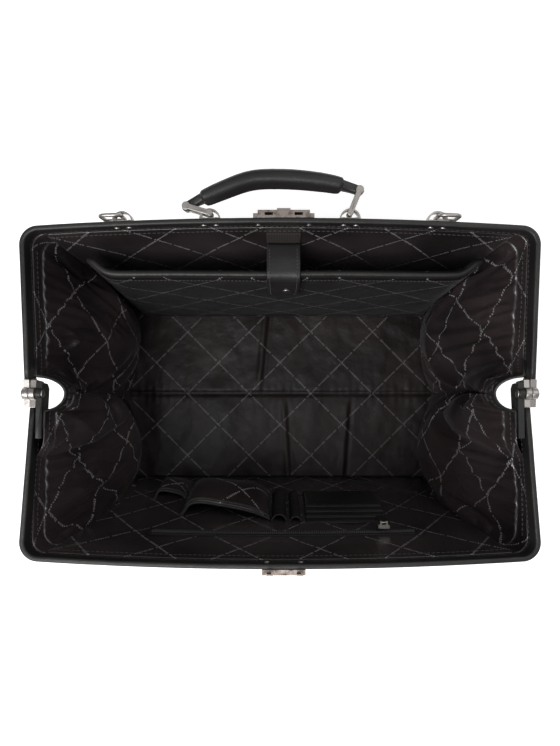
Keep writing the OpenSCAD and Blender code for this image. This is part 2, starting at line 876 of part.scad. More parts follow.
module strap_ring_right() {
    color([0.66, 0.65, 0.63]) on_back_frame() on_face(strap_loop_x) translate([0, ring_u, 0]) wire_ring();
}

module strap_ring_left() {
    color([0.66, 0.65, 0.63])
        on_back_frame() on_face(-strap_loop_x) translate([0, ring_u, 0]) mirror([1, 0, 0]) wire_ring();
}

// ---- Lock on the back half, catch on the front half ----

// Origin on the frame's outer face at the lock, Y out, Z towards the rim
module at_lock() {
    translate([lock_x, lock_u0, 0]) children();
}

window_w = prong_w + 2 * barb + 0.6;
window_d = prong_t + 0.9;
cavity_l = lock_l - 9;
button_u = lock_d - lock_wall;

module lock_case() {
    color([0.62, 0.61, 0.58])
        on_back_frame()
            at_lock()
                difference() {
                    union() {
                        translate([-lock_l / 2 + 4, 0, lock_v1 - lock_h]) cube([lock_l - 8, lock_d, lock_h]);
                        translate([-lock_l / 2, 0, lock_v1 - lock_h + 1.5]) cube([lock_l, lock_d - 2.6, lock_h - 3]);
                    }
                    translate([-cavity_l / 2, lock_wall, lock_v1 - lock_h + lock_wall])
                        cube([cavity_l, lock_d - 2 * lock_wall, lock_h - 2 * lock_wall]);
                    for (e = [-1, 1])
                        translate([e * prong_x - window_w / 2, prong_u - window_d / 2, lock_v1 - 4])
                            cube([window_w, window_d, 5]);
                    translate([-button_w / 2 - 0.4, lock_d - lock_wall - 1, mid_v - 3.3])
                        cube([button_w + bolt_travel + 0.8, lock_wall + 2, 6.6]);
                    for (e = [-1, 1])
                        translate([e * lock_rivet_x, 0, mid_v])
                            rotate([-90, 0, 0]) {
                                translate([0, 0, -1])
                                    cylinder(r = loop_rivet_r + run_clear, h = lock_d + 2, $fn = 32);
                                translate([0, 0, lock_d - 2.6])
                                    cylinder(r = rivet_tail_r + 0.15, h = 1.1, $fn = 32);
                            }
                }
}

bolt_t = 1.4;
bolt_v0 = lock_v1 - lock_h + lock_wall + 0.6;
plate_h = 4.4;
// Gap beside a barb, and the level just above it when the bag is shut
hook_x = prong_w / 2 + barb + 0.2;
hook_v = -prong_up + 2.2 - lock_v1 + 0.2;

// One hook of the bolt, that reaches over a prong's barb
module bolt_hook() {
    rotate([90, 0, 0])
        linear_extrude(bolt_t, center = true)
            polygon([
                [hook_x, bolt_v0], [hook_x + 1.8, bolt_v0], [hook_x + 1.8, hook_v + 2],
                [hook_x, hook_v + 2], [prong_w / 2 + 0.3, hook_v + 0.8], [prong_w / 2 + 0.3, hook_v],
                [hook_x, hook_v]]);
}

// Bolt plate with its two hooks; it slides along +X to let the prongs go
module lock_bolt() {
    color([0.55, 0.55, 0.53])
        on_back_frame()
            at_lock()
                translate([0, prong_u, 0]) {
                    translate([-prong_x + 1, -bolt_t / 2, bolt_v0])
                        cube([2 * prong_x - 1 + hook_x + 1.8, bolt_t, plate_h]);
                    for (e = [-1, 1])
                        translate([e * prong_x, 0, 0]) bolt_hook();
                }
}

module lock_button() {
    color([0.7, 0.69, 0.66])
        on_back_frame()
            at_lock() {
                translate([-button_w / 2, lock_d + 0.2, mid_v - 4.4]) cube([button_w, 2.2, 8.8]);
                translate([-4, prong_u + bolt_t / 2 + 0.02, mid_v - 2.6])
                    cube([8, lock_d + 0.3 - prong_u - bolt_t / 2, 5.2]);
            }
}

module lock_rivets() {
    color([0.7, 0.69, 0.68])
        on_back_frame()
            for (e = [-1, 1])
                translate([lock_x + e * lock_rivet_x, lock_u0, mid_v]) rivet(frame_t + 0.25, lock_d - 2.6 + 0.05);
}

module catch_plate() {
    color([0.55, 0.49, 0.45])
        on_front_frame()
            at_lock()
                difference() {
                    union() {
                        translate([-catch_l / 2, 0, lock_v1 - catch_h]) cube([catch_l, catch_d, catch_h]);
                        for (e = [-1, 1])
                            translate([e * prong_x - prong_w / 2, prong_u - prong_t / 2, lock_v1 - 5]) {
                                cube([prong_w, prong_t, 5 + prong_up]);
                                translate([0, 0, 5 + prong_up - 2.2]) cube([prong_w + barb, prong_t, 2.2]);
                            }
                    }
                    for (e = [-1, 1])
                        translate([e * catch_rivet_x, -1, mid_v])
                            rotate([-90, 0, 0]) cylinder(r = loop_rivet_r + run_clear, h = catch_d + 2, $fn = 32);
                }
}

module catch_rivets() {
    color([0.7, 0.69, 0.68])
        on_front_frame()
            for (e = [-1, 1])
                translate([lock_x + e * catch_rivet_x, lock_u0, mid_v]) rivet(frame_t + 0.25, catch_d + 0.05);
}

base_leather();
base_board();
base_piping();
floor_lining();
feet();
gusset_left();
gusset_right();
gusset_lining_left();
gusset_lining_right();
back_wall();
back_lining();
laptop_pocket();
laptop_binding();
loop_patch();
strap_root();
strap_tab();
strap_snap();
front_wall();
front_lining();
zip_tape();
zip_teeth();
zip_slider();
zip_puller();
card_holder();
pen_loops();
phone_pocket();
small_pocket();
back_steel();
back_cover();
back_caps();
hinge_rivets();
front_steel();
front_cover();
front_caps();
hinge_leaves();
handle_loops();
strap_loops();
loop_rivets();
right_bar();
right_shackle();
right_handle_pin();
handle_core();
handle_grip();
handle_tabs();
left_shackle();
left_bar();
left_handle_pin();
strap_ring_left();
strap_ring_right();
lock_case();
lock_bolt();
lock_button();
lock_rivets();
catch_plate();
catch_rivets();
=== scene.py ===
"""Looks of a black leather doctor bag that stands with its hinged frame wide open.

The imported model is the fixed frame. Every class here builds one sub-assembly of the bag
around it, in metres, and each finish is a small class that writes its own shader.
"""

from __future__ import annotations

import json
import logging
import math
from dataclasses import dataclass
from enum import Enum
from typing import Callable, Iterable, Sequence

import bmesh
import bpy
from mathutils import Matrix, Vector, noise


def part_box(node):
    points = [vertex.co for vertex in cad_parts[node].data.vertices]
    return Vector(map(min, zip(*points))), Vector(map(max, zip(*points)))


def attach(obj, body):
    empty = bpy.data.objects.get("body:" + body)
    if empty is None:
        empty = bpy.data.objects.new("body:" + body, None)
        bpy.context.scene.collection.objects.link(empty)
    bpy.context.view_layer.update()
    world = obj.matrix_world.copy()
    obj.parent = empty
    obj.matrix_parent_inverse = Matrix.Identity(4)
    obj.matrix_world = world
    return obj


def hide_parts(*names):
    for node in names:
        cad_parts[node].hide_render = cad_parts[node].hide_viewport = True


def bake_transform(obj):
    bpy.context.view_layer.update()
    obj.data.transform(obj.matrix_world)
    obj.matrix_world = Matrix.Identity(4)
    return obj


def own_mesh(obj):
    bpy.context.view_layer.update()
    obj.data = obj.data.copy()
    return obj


LOG = logging.getLogger("doctor_bag")
MM = 0.001
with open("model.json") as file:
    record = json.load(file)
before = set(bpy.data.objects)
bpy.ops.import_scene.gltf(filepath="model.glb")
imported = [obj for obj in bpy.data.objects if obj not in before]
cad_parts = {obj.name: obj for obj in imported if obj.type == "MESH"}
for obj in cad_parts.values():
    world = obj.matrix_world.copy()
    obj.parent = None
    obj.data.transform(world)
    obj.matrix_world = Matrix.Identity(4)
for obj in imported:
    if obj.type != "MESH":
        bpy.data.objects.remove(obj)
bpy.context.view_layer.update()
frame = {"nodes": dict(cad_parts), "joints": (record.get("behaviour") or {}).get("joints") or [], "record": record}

Point = Callable[[float, float], Vector]


# ---------------------------------------------------------------- shader maths


class Val:
    """A number socket whose arithmetic adds Math nodes to its shader tree."""

    def __init__(self, tree: bpy.types.NodeTree, socket: bpy.types.NodeSocket) -> None:
        """Wrap one output socket of a tree."""
        self.tree = tree
        self.socket = socket

    def math(self, operation: str, *values: "Val | float") -> "Val":
        """Add one Math node.

        Args:
            operation: The Math node's operation.
            values: What follows this value in the node's sockets.

        Returns:
            The node's result.
        """
        node = self.tree.nodes.new("ShaderNodeMath")
        node.operation = operation
        for socket, value in zip(node.inputs, (self, *values)):
            if isinstance(value, Val):
                self.tree.links.new(value.socket, socket)
            else:
                socket.default_value = value
        return Val(self.tree, node.outputs[0])

    def flipped(self, operation: str, value: float) -> "Val":
        """Add one Math node whose first value is a plain number."""
        node = self.tree.nodes.new("ShaderNodeMath")
        node.operation = operation
        node.inputs[0].default_value = value
        self.tree.links.new(self.socket, node.inputs[1])
        return Val(self.tree, node.outputs[0])

    def __add__(self, other: "Val | float") -> "Val":
        """Sum."""
        return self.math("ADD", other)

    def __radd__(self, other: float) -> "Val":
        """Sum with a number on the left."""
        return self.math("ADD", other)

    def __sub__(self, other: "Val | float") -> "Val":
        """Difference."""
        return self.math("SUBTRACT", other)

    def __rsub__(self, other: float) -> "Val":
        """Difference from a number."""
        return self.flipped("SUBTRACT", other)

    def __mul__(self, other: "Val | float") -> "Val":
        """Product."""
        return self.math("MULTIPLY", other)

    def __rmul__(self, other: float) -> "Val":
        """Product with a number on the left."""
        return self.math("MULTIPLY", other)

    def __truediv__(self, other: "Val | float") -> "Val":
        """Quotient."""
        return self.math("DIVIDE", other)

    def __abs__(self) -> "Val":
        """Absolute value."""
        return self.math("ABSOLUTE")

    def fraction(self) -> "Val":
        """Part after the decimal point."""
        return self.math("FRACT")

    def floor(self) -> "Val":
        """Whole part."""
        return self.math("FLOOR")

    def below(self, limit: "Val | float") -> "Val":
        """One where this value is under the limit, else nought."""
        return self.math("LESS_THAN", limit)

    def sine(self) -> "Val":
        """Sine of this value in radians."""
        return self.math("SINE")


class Shader:
    """One material, with a Principled shader and short ways to add nodes."""

    def __init__(self, name: str, roughness: float, **constants: object) -> None:
        """Make the material.

        Args:
            name: Name of the material.
            roughness: Roughness where no node sets it.
            constants: Other Principled sockets, with _ for each space.
        """
        self.material = bpy.data.materials.new(name)
        self.material.use_nodes = True
        self.tree = self.material.node_tree
        self.bsdf = self.tree.nodes["Principled BSDF"]
        self.bsdf.inputs["Roughness"].default_value = roughness
        for key, value in constants.items():
            self.bsdf.inputs[key.replace("_", " ")].default_value = value

    def node(self, kind: str, settings: dict | None = None, **sockets: object) -> bpy.types.Node:
        """Add one node.

        Args:
            kind: The node's type.
            settings: Properties of the node, or "stops" for a ramp's (place, grey) list.
            sockets: Values or links of its inputs, with _ for each space.

        Returns:
            The node.
        """
        made = self.tree.nodes.new(kind)
        for key, value in (settings or {}).items():
            if key == "stops":
                ramp = made.color_ramp
                for element, (place, grey) in zip(ramp.elements, value):
                    element.position = place
                    element.color = (grey, grey, grey, 1)
            else:
                setattr(made, key, value)
        for key, value in sockets.items():
            self.feed(made.inputs[key.replace("_", " ")], value)
        return made

    def feed(self, socket: bpy.types.NodeSocket, value: object) -> None:
        """Link or set one input socket."""
        if isinstance(value, Val):
            value = value.socket
        if isinstance(value, bpy.types.NodeSocket):
            self.tree.links.new(value, socket)
        else:
            socket.default_value = value

    def place(self) -> bpy.types.NodeSocket:
        """Return the Object coordinates."""
        return self.node("ShaderNodeTexCoord").outputs["Object"]

    def plane(self) -> tuple[Val, Val]:
        """Return the piece's own UV map as two numbers, in metres."""
        split = self.node("ShaderNodeSeparateXYZ", Vector=self.node("ShaderNodeTexCoord").outputs["UV"])
        return Val(self.tree, split.outputs["X"]), Val(self.tree, split.outputs["Y"])

    def noise(self, scale: float, detail: float = 3, vector: object = None, roughness: float = 0.5) -> Val:
        """Return a noise value over the surface, from nought to one."""
        found = self.node(
            "ShaderNodeTexNoise", Scale=scale, Detail=detail, Roughness=roughness, Vector=vector or self.place()
        )
        return Val(self.tree, found.outputs["Fac"])

    def stretched(self, factors: tuple[float, float, float]) -> bpy.types.NodeSocket:
        """Return Object coordinates scaled along each axis."""
        return self.node("ShaderNodeMapping", Vector=self.place(), Scale=factors).outputs["Vector"]

    def cells(self, scale: float, feature: str = "F1") -> Val:
        """Return the distance in a Voronoi pattern."""
        found = self.node("ShaderNodeTexVoronoi", {"feature": feature}, Vector=self.place(), Scale=scale)
        return Val(self.tree, found.outputs["Distance"])

    def ramp(self, value: Val, *stops: tuple[float, float]) -> Val:
        """Return a grey ramp of a value."""
        found = self.node("ShaderNodeValToRGB", {"stops": stops}, Fac=value)
        return Val(self.tree, found.outputs["Color"])

    def blend(self, low: object, high: object, factor: Val) -> bpy.types.NodeSocket:
        """Return a colour between two colours."""
        made = self.node("ShaderNodeMix", {"data_type": "RGBA"})
        for socket, value in ((made.inputs[0], factor), (made.inputs[6], low), (made.inputs[7], high)):
            self.feed(socket, value)
        return made.outputs[2]

    def colour(self, value: object) -> None:
        """Set the base colour."""
        self.feed(self.bsdf.inputs["Base Color"], value)

    def rough(self, value: Val) -> None:
        """Set a roughness that changes over the surface."""
        self.feed(self.bsdf.inputs["Roughness"], value)

    def relief(self, *layers: tuple[Val, float]) -> None:
        """Feed the normal with bumps.

        Args:
            layers: Each height and its distance in metres, the broadest first.
        """
        normal = None
        for height, distance in layers:
            made = self.node("ShaderNodeBump", Height=height, Distance=distance, Strength=1.0)
            if normal is not None:
                self.feed(made.inputs["Normal"], normal)
            normal = made.outputs["Normal"]
        self.feed(self.bsdf.inputs["Normal"], normal)


def rgb(red: float, green: float, blue: float) -> tuple[float, float, float, float]:
    """Return an opaque colour."""
    return red, green, blue, 1.0


# ------------------------------------------------------------------- finishes


@dataclass(frozen=True)
class Leather:
    """Smooth cowhide with a fine pebble grain, soft creases and a waxed sheen."""

    name: str
    slot: str
    deep: tuple[float, float, float, float] = rgb(0.0105, 0.0098, 0.0095)
    worn: tuple[float, float, float, float] = rgb(0.032, 0.030, 0.029)
    grain: float = 620
    grain_depth: float = 0.00012
    roughness: float = 0.42

    def make(self) -> bpy.types.Material:
        """Return the material."""
        s = Shader(self.name, self.roughness, Specular_IOR_Level=0.36)
        cloud = s.noise(14, 4)
        pebble = s.cells(self.grain)
        pore = s.noise(self.grain * 2.2, 2)
        crease = s.noise(60, 5, s.stretched((1, 1, 2.6)))
        s.colour(s.blend(self.deep, self.worn, s.ramp(cloud * 0.7 + pore * 0.3, (0.35, 0), (0.75, 1))))
        s.rough(self.roughness - 0.08 + cloud * 0.12 + pebble * 0.10)
        s.relief((crease, 0.0006), (pebble, self.grain_depth), (pore, self.grain_depth * 0.5))
        return s.material


@dataclass(frozen=True)
class Satin:
    """Dark brown satin printed with a lattice of small plain dashes."""

    name: str = "satin_lining"
    slot: str = "satin_lining"
    ground: tuple[float, float, float, float] = rgb(0.0110, 0.0080, 0.0084)
    light: tuple[float, float, float, float] = rgb(0.044, 0.032, 0.0335)
    ink: tuple[float, float, float, float] = rgb(0.30, 0.29, 0.295)
    gloss: float = 1.0
    roughness: float = 0.21
    side: float = 0.0594
    dash: float = 0.0025
    height: float = 0.0021

    def dashes(self, across: Val, along: Val) -> Val:
        """Return the mask of one family of dashed lines.

        Args:
            across: Distance over the lines, in metres.
            along: Distance along the lines, in metres.

        Returns:
            One on a dash, else nought.
        """
        lane = across / self.side
        off = (lane.fraction() - 0.5) * self.side
        step = along / self.dash
        jitter = (step.floor() * 12.9898 + lane.floor() * 7.1).sine() * 43758.5
        tall = jitter.fraction() * 0.35 + 0.28
        band = abs(off).below(tall * self.height)
        word = ((along / (self.dash * 9)).fraction()).below(0.86)
        return band * step.fraction().below(0.58) * word

    def make(self) -> bpy.types.Material:
        """Return the material."""
        s = Shader(self.name, self.roughness, Specular_IOR_Level=self.gloss, Sheen_Weight=0.06, Sheen_Roughness=0.35)
        u, v = s.plane()
        one, two = (u + v) * math.sqrt(0.5), (u - v) * math.sqrt(0.5)
        mark = self.dashes(one, two) + self.dashes(two, one)
        cloud = s.noise(9, 3)
        base = s.blend(self.ground, self.light, s.ramp(cloud, (0.36, 0), (0.68, 1)))
        s.colour(s.blend(base, self.ink, mark * 0.85))
        weave = (u * 9000).sine() * (v * 9000).sine()
        pucker = s.noise(30, 5, s.stretched((1, 1, 0.4)), 0.45)
        s.rough(self.roughness + cloud * 0.10)
        s.relief((pucker, 0.0036), (weave, 0.00001))
        return s.material


@dataclass(frozen=True)
class Metal:
    """Satin plated metal with fine brushing and duller, browner low spots."""

    name: str
    slot: str
    plate: tuple[float, float, float, float] = rgb(0.42, 0.395, 0.375)
    tarnish: tuple[float, float, float, float] = rgb(0.22, 0.19, 0.17)
    roughness: float = 0.34
    age: float = 0.5

    def make(self) -> bpy.types.Material:
        """Return the material."""
        s = Shader(self.name, self.roughness, Metallic=1.0)
        spots = s.ramp(s.noise(180, 5, roughness=0.65), (0.72 - 0.3 * self.age, 0), (0.95 - 0.3 * self.age, 1))
        brushed = s.noise(900, 2, s.stretched((0.08, 1, 1)))
        s.colour(s.blend(self.plate, self.tarnish, spots))
        s.rough(self.roughness + spots * 0.22 + brushed * 0.08)
        s.relief((brushed, 0.00002), (spots, 0.00004))
        return s.material


@dataclass(frozen=True)
class Textile:
    """Woven or ribbed black textile."""

    name: str
    slot: str
    ground: tuple[float, float, float, float] = rgb(0.010, 0.009, 0.009)
    lift: tuple[float, float, float, float] = rgb(0.030, 0.028, 0.028)
    rib: float = 5200
    roughness: float = 0.8

    def make(self) -> bpy.types.Material:
        """Return the material."""
        s = Shader(self.name, self.roughness, Specular_IOR_Level=0.25)
        u, v = s.plane()
        rib = (u * self.rib).sine() * 0.5 + 0.5
        cross = (v * self.rib * 0.6).sine() * 0.5 + 0.5
        fuzz = s.noise(1500, 3)
        s.colour(s.blend(self.ground, self.lift, rib * 0.5 * cross + fuzz * 0.3))
        s.rough(self.roughness - 0.1 + fuzz * 0.2)
        s.relief((rib * 0.6 + cross * 0.4, 0.00025), (fuzz, 0.0001))
        return s.material


@dataclass(frozen=True)
class Thread:
    """Waxed stitching thread."""

    name: str = "thread"
    slot: str = "black_trim"
    colour: tuple[float, float, float, float] = rgb(0.05, 0.046, 0.044)

    def make(self) -> bpy.types.Material:
        """Return the material."""
        s = Shader(self.name, 0.6)
        twist = s.noise(2600, 2)
        s.colour(s.blend(self.colour, rgb(0.11, 0.10, 0.10), twist * 0.6))
        s.rough(0.5 + twist * 0.2)
        s.relief((twist, 0.0001))
        return s.material


@dataclass(frozen=True)
class Board:
    """Fibre board with a pale speckle."""

    name: str = "fibre_board"
    slot: str = "board"

    def make(self) -> bpy.types.Material:
        """Return the material."""
        s = Shader(self.name, 0.85)
        fibre = s.noise(700, 4, s.stretched((0.3, 1, 1)))
        s.colour(s.blend(rgb(0.07, 0.05, 0.04), rgb(0.16, 0.12, 0.09), fibre))
        s.relief((fibre, 0.0002))
        return s.material


class Finish(Enum):
    """Every finish of the bag."""

    HIDE = Leather("black_leather", "black_leather")
    TRIM = Leather("trim_leather", "black_trim", grain=800, grain_depth=0.00009, roughness=0.36)
    SATIN = Satin()
    # Darker copy of the lining satin, with dimmer print: painted shade standing in for the little light that reaches
    # the floor.
    FLOOR = Satin(
        "satin_floor",
        ground=rgb(0.0075, 0.0046, 0.0048),
        light=rgb(0.024, 0.0165, 0.017),
        ink=rgb(0.16, 0.15, 0.152),
        gloss=0.25,
        roughness=0.40,
    )
    # Darker copy of the lining satin, with dimmer print: painted shade on the pocket pad's steep face.
    POCKET = Satin(
        "satin_pocket",
        ground=rgb(0.0055, 0.0042, 0.0044),
        light=rgb(0.011, 0.0085, 0.009),
        ink=rgb(0.20, 0.19, 0.195),
        gloss=0.12,
        roughness=0.5,
    )
    NICKEL = Metal("nickel", "nickel")
    AGED = Metal("aged_nickel", "aged_nickel", rgb(0.36, 0.32, 0.29), rgb(0.13, 0.10, 0.085), 0.34, 1.0)
    STEEL = Metal("strip_steel", "steel_strip", rgb(0.5, 0.5, 0.5), rgb(0.3, 0.3, 0.3), 0.35, 0.3)
    TAPE = Textile("zip_tape", "textile_tape")
    RIBBED = Textile("ribbed_patch", "hook_patch", rgb(0.018, 0.015, 0.014), rgb(0.07, 0.06, 0.058), 2600)
    THREAD = Thread()
    TEETH = Leather("zip_plastic", "zip_plastic", rgb(0.04, 0.04, 0.042), rgb(0.08, 0.08, 0.083), 1500, 0.00003, 0.35)
    BOARD = Board()

    def material(self) -> bpy.types.Material:
        """Return this finish's material, made on first use."""
        if self not in MADE:
            MADE[self] = self.value.make()
        return MADE[self]


MADE: dict[Finish, bpy.types.Material] = {}


# -------------------------------------------------------------- mesh building


@dataclass
class Ride:
    """How a piece moves: the body it rides on; its second body, blend ends, squash axis and keep share do not move it.
    """

    body: str
    other: str = ""
    start: tuple[float, float, float] = (0, 0, 0)
    end: tuple[float, float, float] = (0, 0, 0)
    squash_axis: tuple[float, float, float] | None = None
    keep: float = 0.2

    def apply(self, piece: bpy.types.Object) -> None:
        """Hand a piece with one body to that body, with its own mesh copy if it has a squash axis; a piece between two
        bodies only has its transform baked.
        """
        if self.other:
            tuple(self.start)
            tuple(self.end)
            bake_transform(piece)
            return
        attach(piece, self.body)
        if self.squash_axis:
            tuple(self.squash_axis)
            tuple(self.start)
            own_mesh(piece)


def new_object(name: str, mesh: bpy.types.Mesh) -> bpy.types.Object:
    """Link a mesh into the scene at the origin."""
    made = bpy.data.objects.new(name, mesh)
    bpy.context.scene.collection.objects.link(made)
    return made


def settle(piece: bpy.types.Object) -> bpy.types.Object:
    """Turn a piece and its modifiers into a plain mesh in the same object."""
    evaluated = piece.evaluated_get(bpy.context.evaluated_depsgraph_get())
    mesh = bpy.data.meshes.new_from_object(evaluated)
    piece.modifiers.clear()
    piece.data = mesh
    return piece


def dress(
    piece: bpy.types.Object, finish: Finish, ride: Ride, replaces: Sequence[str] = (), smooth: bool = True
) -> bpy.types.Object:
    """Finish a piece: plain mesh, material, slot and body.

    Args:
        piece: The object, with its place in its mesh.
        finish: Its finish.
        ride: How it moves.
        replaces: CAD nodes that it stands for.
        smooth: Whether its faces are shaded smooth.

    Returns:
        The same object.
    """
    if piece.modifiers:
        settle(piece)
    piece.data.materials.clear()
    piece.data.materials.append(finish.material())
    if smooth:
        piece.data.shade_smooth()
    ride.apply(piece)
    if replaces:
        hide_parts(*replaces)
    LOG.info("%s on %s, %d faces", piece.name, ride.body, len(piece.data.polygons))
    return piece


def lerp(a: float, b: float, t: float) -> float:
    """Return the value a share t of the way from a to b."""
    return a + (b - a) * t


def ease(t: float) -> float:
    """Return t eased in and out between nought and one."""
    t = min(1.0, max(0.0, t))
    return t * t * (3 - 2 * t)


def hump(x: float, centre: float, width: float) -> float:
    """Return a bell of height one at centre."""
    return math.exp(-(((x - centre) / width) ** 2))


def ruffle(x: float, y: float, z: float = 0.0) -> float:
    """Return smooth noise between about -1 and 1."""
    return noise.noise(Vector((x, y, z)))


def steps(low: float, high: float, count: int) -> list[float]:
    """Return count + 1 even values."""
    return [lerp(low, high, i / count) for i in range(count + 1)]


def surface(
    name: str,
    point: Point,
    us: Sequence[float],
    vs: Sequence[float],
    plane: Callable[[float, float], tuple[float, float]] | None = None,
    thick: float = 0.0,
    flip: bool = False,
) -> bpy.types.Object:
    """Make an open grid surface, with a wall thickness if asked.

    Args:
        name: Name of the piece.
        point: Place of each (u, v).
        us: Values of u.
        vs: Values of v.
        plane: UV place of each (u, v), in metres.
        thick: Wall thickness, added behind the surface.
        flip: Whether the faces turn the other way.

    Returns:
        The object.
    """
    columns = len(vs)
    verts = [point(u, v) for u in us for v in vs]
    faces = []
    for i in range(len(us) - 1):
        for j in range(columns - 1):
            a = i * columns + j
            quad = (a, a + columns, a + columns + 1, a + 1)
            faces.append(quad[::-1] if flip else quad)
    mesh = bpy.data.meshes.new(name)
    mesh.from_pydata(verts, [], faces)
    layer = mesh.uv_layers.new(name="UVMap")
    at = [(plane or (lambda a, b: (a, b)))(u, v) for u in us for v in vs]
    for loop in mesh.loops:
        layer.data[loop.index].uv = at[loop.vertex_index]
    return walled(new_object(name, mesh), thick)


def walled(piece: bpy.types.Object, thick: float) -> bpy.types.Object:
    """Give an open surface a wall thickness behind it."""
    if thick:
        made = piece.modifiers.new("wall", "SOLIDIFY")
        made.thickness = thick
        made.offset = -1
        made.use_even_offset = False
    return piece


@dataclass
class Slack:
    """Cloth simulation that lets a sewn-in sheet crumple between its seams."""

    extra: float = 0.07
    bend: float = 0.25
    frames: int = 24
    room: float = 0.5 * MM

    def relax(self, piece: bpy.types.Object, pull: Vector, out: Vector, rows: int) -> None:
        """Run the cloth and keep the result in the piece's mesh.

        Args:
            piece: A grid surface made by surface(), without a wall thickness.
            pull: Gravity during the run.
            out: Direction that the cloth may not move in, where its shell is.
            rows: Number of points along the grid's second direction.
        """
        scene = bpy.context.scene
        rest = [v.co.copy() for v in piece.data.vertices]
        last = len(rest) // rows - 1
        held = [k for k in range(len(rest)) if k % rows in (0, rows - 1) or k // rows in (0, last)]
        piece.vertex_groups.new(name="seams").add(held, 1.0, "REPLACE")
        made = piece.modifiers.new("cloth", "CLOTH")
        made.collision_settings.use_collision = False
        made.point_cache.frame_end = self.frames
        cloth = made.settings
        cloth.quality = 6
        cloth.mass = 0.15
        cloth.tension_stiffness = cloth.compression_stiffness = 12
        cloth.shear_stiffness = 5
        cloth.bending_stiffness = self.bend
        cloth.air_damping = 2
        cloth.vertex_group_mass = "seams"
        cloth.shrink_min = -self.extra
        scene.gravity = pull
        for step in range(1, self.frames + 1):
            scene.frame_set(step)
        settle(piece)
        scene.frame_set(1)
        piece.vertex_groups.clear()
        for v, start in zip(piece.data.vertices, rest):
            over = (v.co - start).dot(out) - self.room
            if over > 0:
                v.co -= out * over


def tube(
    name: str, path: Sequence[Vector], radius: float | Callable[[float], float], sides: int = 10, closed: bool = False
) -> bpy.types.Object:
    """Make a round tube with closed ends along a path.

    Args:
        name: Name of the piece.
        path: Points of its centre line.
        radius: Its radius, or the radius at each share of its length.
        sides: Sides of its section.
        closed: Whether the path is a loop.

    Returns:
        The object.
    """
    count = len(path)
    bm = bmesh.new()
    rings = []
    side = None
    for i, p in enumerate(path):
        before = path[i - 1] if closed or i else path[0]
        after = path[(i + 1) % count] if closed or i < count - 1 else path[-1]
        along = (after - before).normalized()
        if side is None:
            side = along.orthogonal().normalized()
        side = (side - along * side.dot(along)).normalized()
        up = along.cross(side)
        r = radius(i / (count - 1)) if callable(radius) else radius
        turns = [2 * math.pi * k / sides for k in range(sides)]
        rings.append([bm.verts.new(p + (side * math.cos(a) + up * math.sin(a)) * r) for a in turns])
    pairs = list(zip(rings, rings[1:])) + ([(rings[-1], rings[0])] if closed else [])
    for one, two in pairs:
        for k in range(sides):
            n = (k + 1) % sides
            bm.faces.new((one[k], one[n], two[n], two[k]))
    if not closed:
        bm.faces.new(rings[0][::-1])
        bm.faces.new(rings[-1])
    bmesh.ops.recalc_face_normals(bm, faces=bm.faces)
    mesh = bpy.data.meshes.new(name)
    bm.to_mesh(mesh)
    bm.free()
    return new_object(name, mesh)


def block(
    name: str,
    low: tuple[float, float, float],
    high: tuple[float, float, float],
    place: Callable[[Vector], Vector],
    round_edge: float,
    cut: float = 0.008,
) -> bpy.types.Object:
    """Make a rounded block, cut fine enough to bend, and map it into place.

    Args:
        name: Name of the piece.
        low: Lowest corner in the block's own axes.
        high: Highest corner.
        place: Map from the block's axes to the bag's.
        round_edge: Radius of its edges.
        cut: Largest size of a face.

    Returns:
        The object, with UVs in metres from its own first and last axes.
    """
    bm = bmesh.new()
    bmesh.ops.create_cube(bm, size=1)
    lo, hi = Vector(low), Vector(high)
    for v in bm.verts:
        v.co = Vector(lerp(lo[k], hi[k], v.co[k] + 0.5) for k in range(3))
    if round_edge:
        bmesh.ops.bevel(bm, geom=bm.edges[:], offset=round_edge, segments=3, profile=0.5, affect="EDGES")
    for k in range(3):
        count = int((hi[k] - lo[k]) / cut)
        for i in range(1, count):
            spot = Vector((0, 0, 0))
            spot[k] = lerp(lo[k], hi[k], i / count)
            normal = Vector((0, 0, 0))
            normal[k] = 1
            bmesh.ops.bisect_plane(bm, geom=bm.verts[:] + bm.edges[:] + bm.faces[:], plane_co=spot, plane_no=normal)
    layer = bm.loops.layers.uv.new("UVMap")
    for face in bm.faces:
        for loop in face.loops:
            loop[layer].uv = (loop.vert.co.x, loop.vert.co.z)
    for v in bm.verts:
        v.co = place(v.co.copy())
    bmesh.ops.recalc_face_normals(bm, faces=bm.faces)
    mesh = bpy.data.meshes.new(name)
    bm.to_mesh(mesh)
    bm.free()
    return new_object(name, mesh)


def joined(name: str, pieces: Iterable[bpy.types.Object]) -> bpy.types.Object:
    """Join plain pieces into one object of this name."""
    bm = bmesh.new()
    for piece in pieces:
        bm.from_mesh(settle(piece).data if piece.modifiers else piece.data)
        bpy.data.objects.remove(piece)
    mesh = bpy.data.meshes.new(name)
    bm.to_mesh(mesh)
    bm.free()
    return new_object(name, mesh)


def lathe(name: str, centre: Vector, axis: Vector, outline: Sequence[tuple[float, float]]) -> bpy.types.Object:
    """Turn an outline of (radius, height) round an axis through a centre."""
    axis = axis.normalized()
    side = axis.orthogonal().normalized()
    up = axis.cross(side)
    sides = 28
    bm = bmesh.new()
    rings = []
    for r, h in outline:
        spots = [2 * math.pi * k / sides for k in range(sides)] if r > 1e-7 else [0.0]
        rings.append([bm.verts.new(centre + axis * h + (side * math.cos(a) + up * math.sin(a)) * r) for a in spots])
    for one, two in zip(rings, rings[1:]):
        for k in range(sides):
            n = (k + 1) % sides
            if len(one) == 1:
                bm.faces.new((one[0], two[n], two[k]))
            elif len(two) == 1:
                bm.faces.new((one[k], one[n], two[0]))
            else:
                bm.faces.new((one[k], one[n], two[n], two[k]))
    bmesh.ops.recalc_face_normals(bm, faces=bm.faces)
    mesh = bpy.data.meshes.new(name)
    bm.to_mesh(mesh)
    bm.free()
    return new_object(name, mesh)


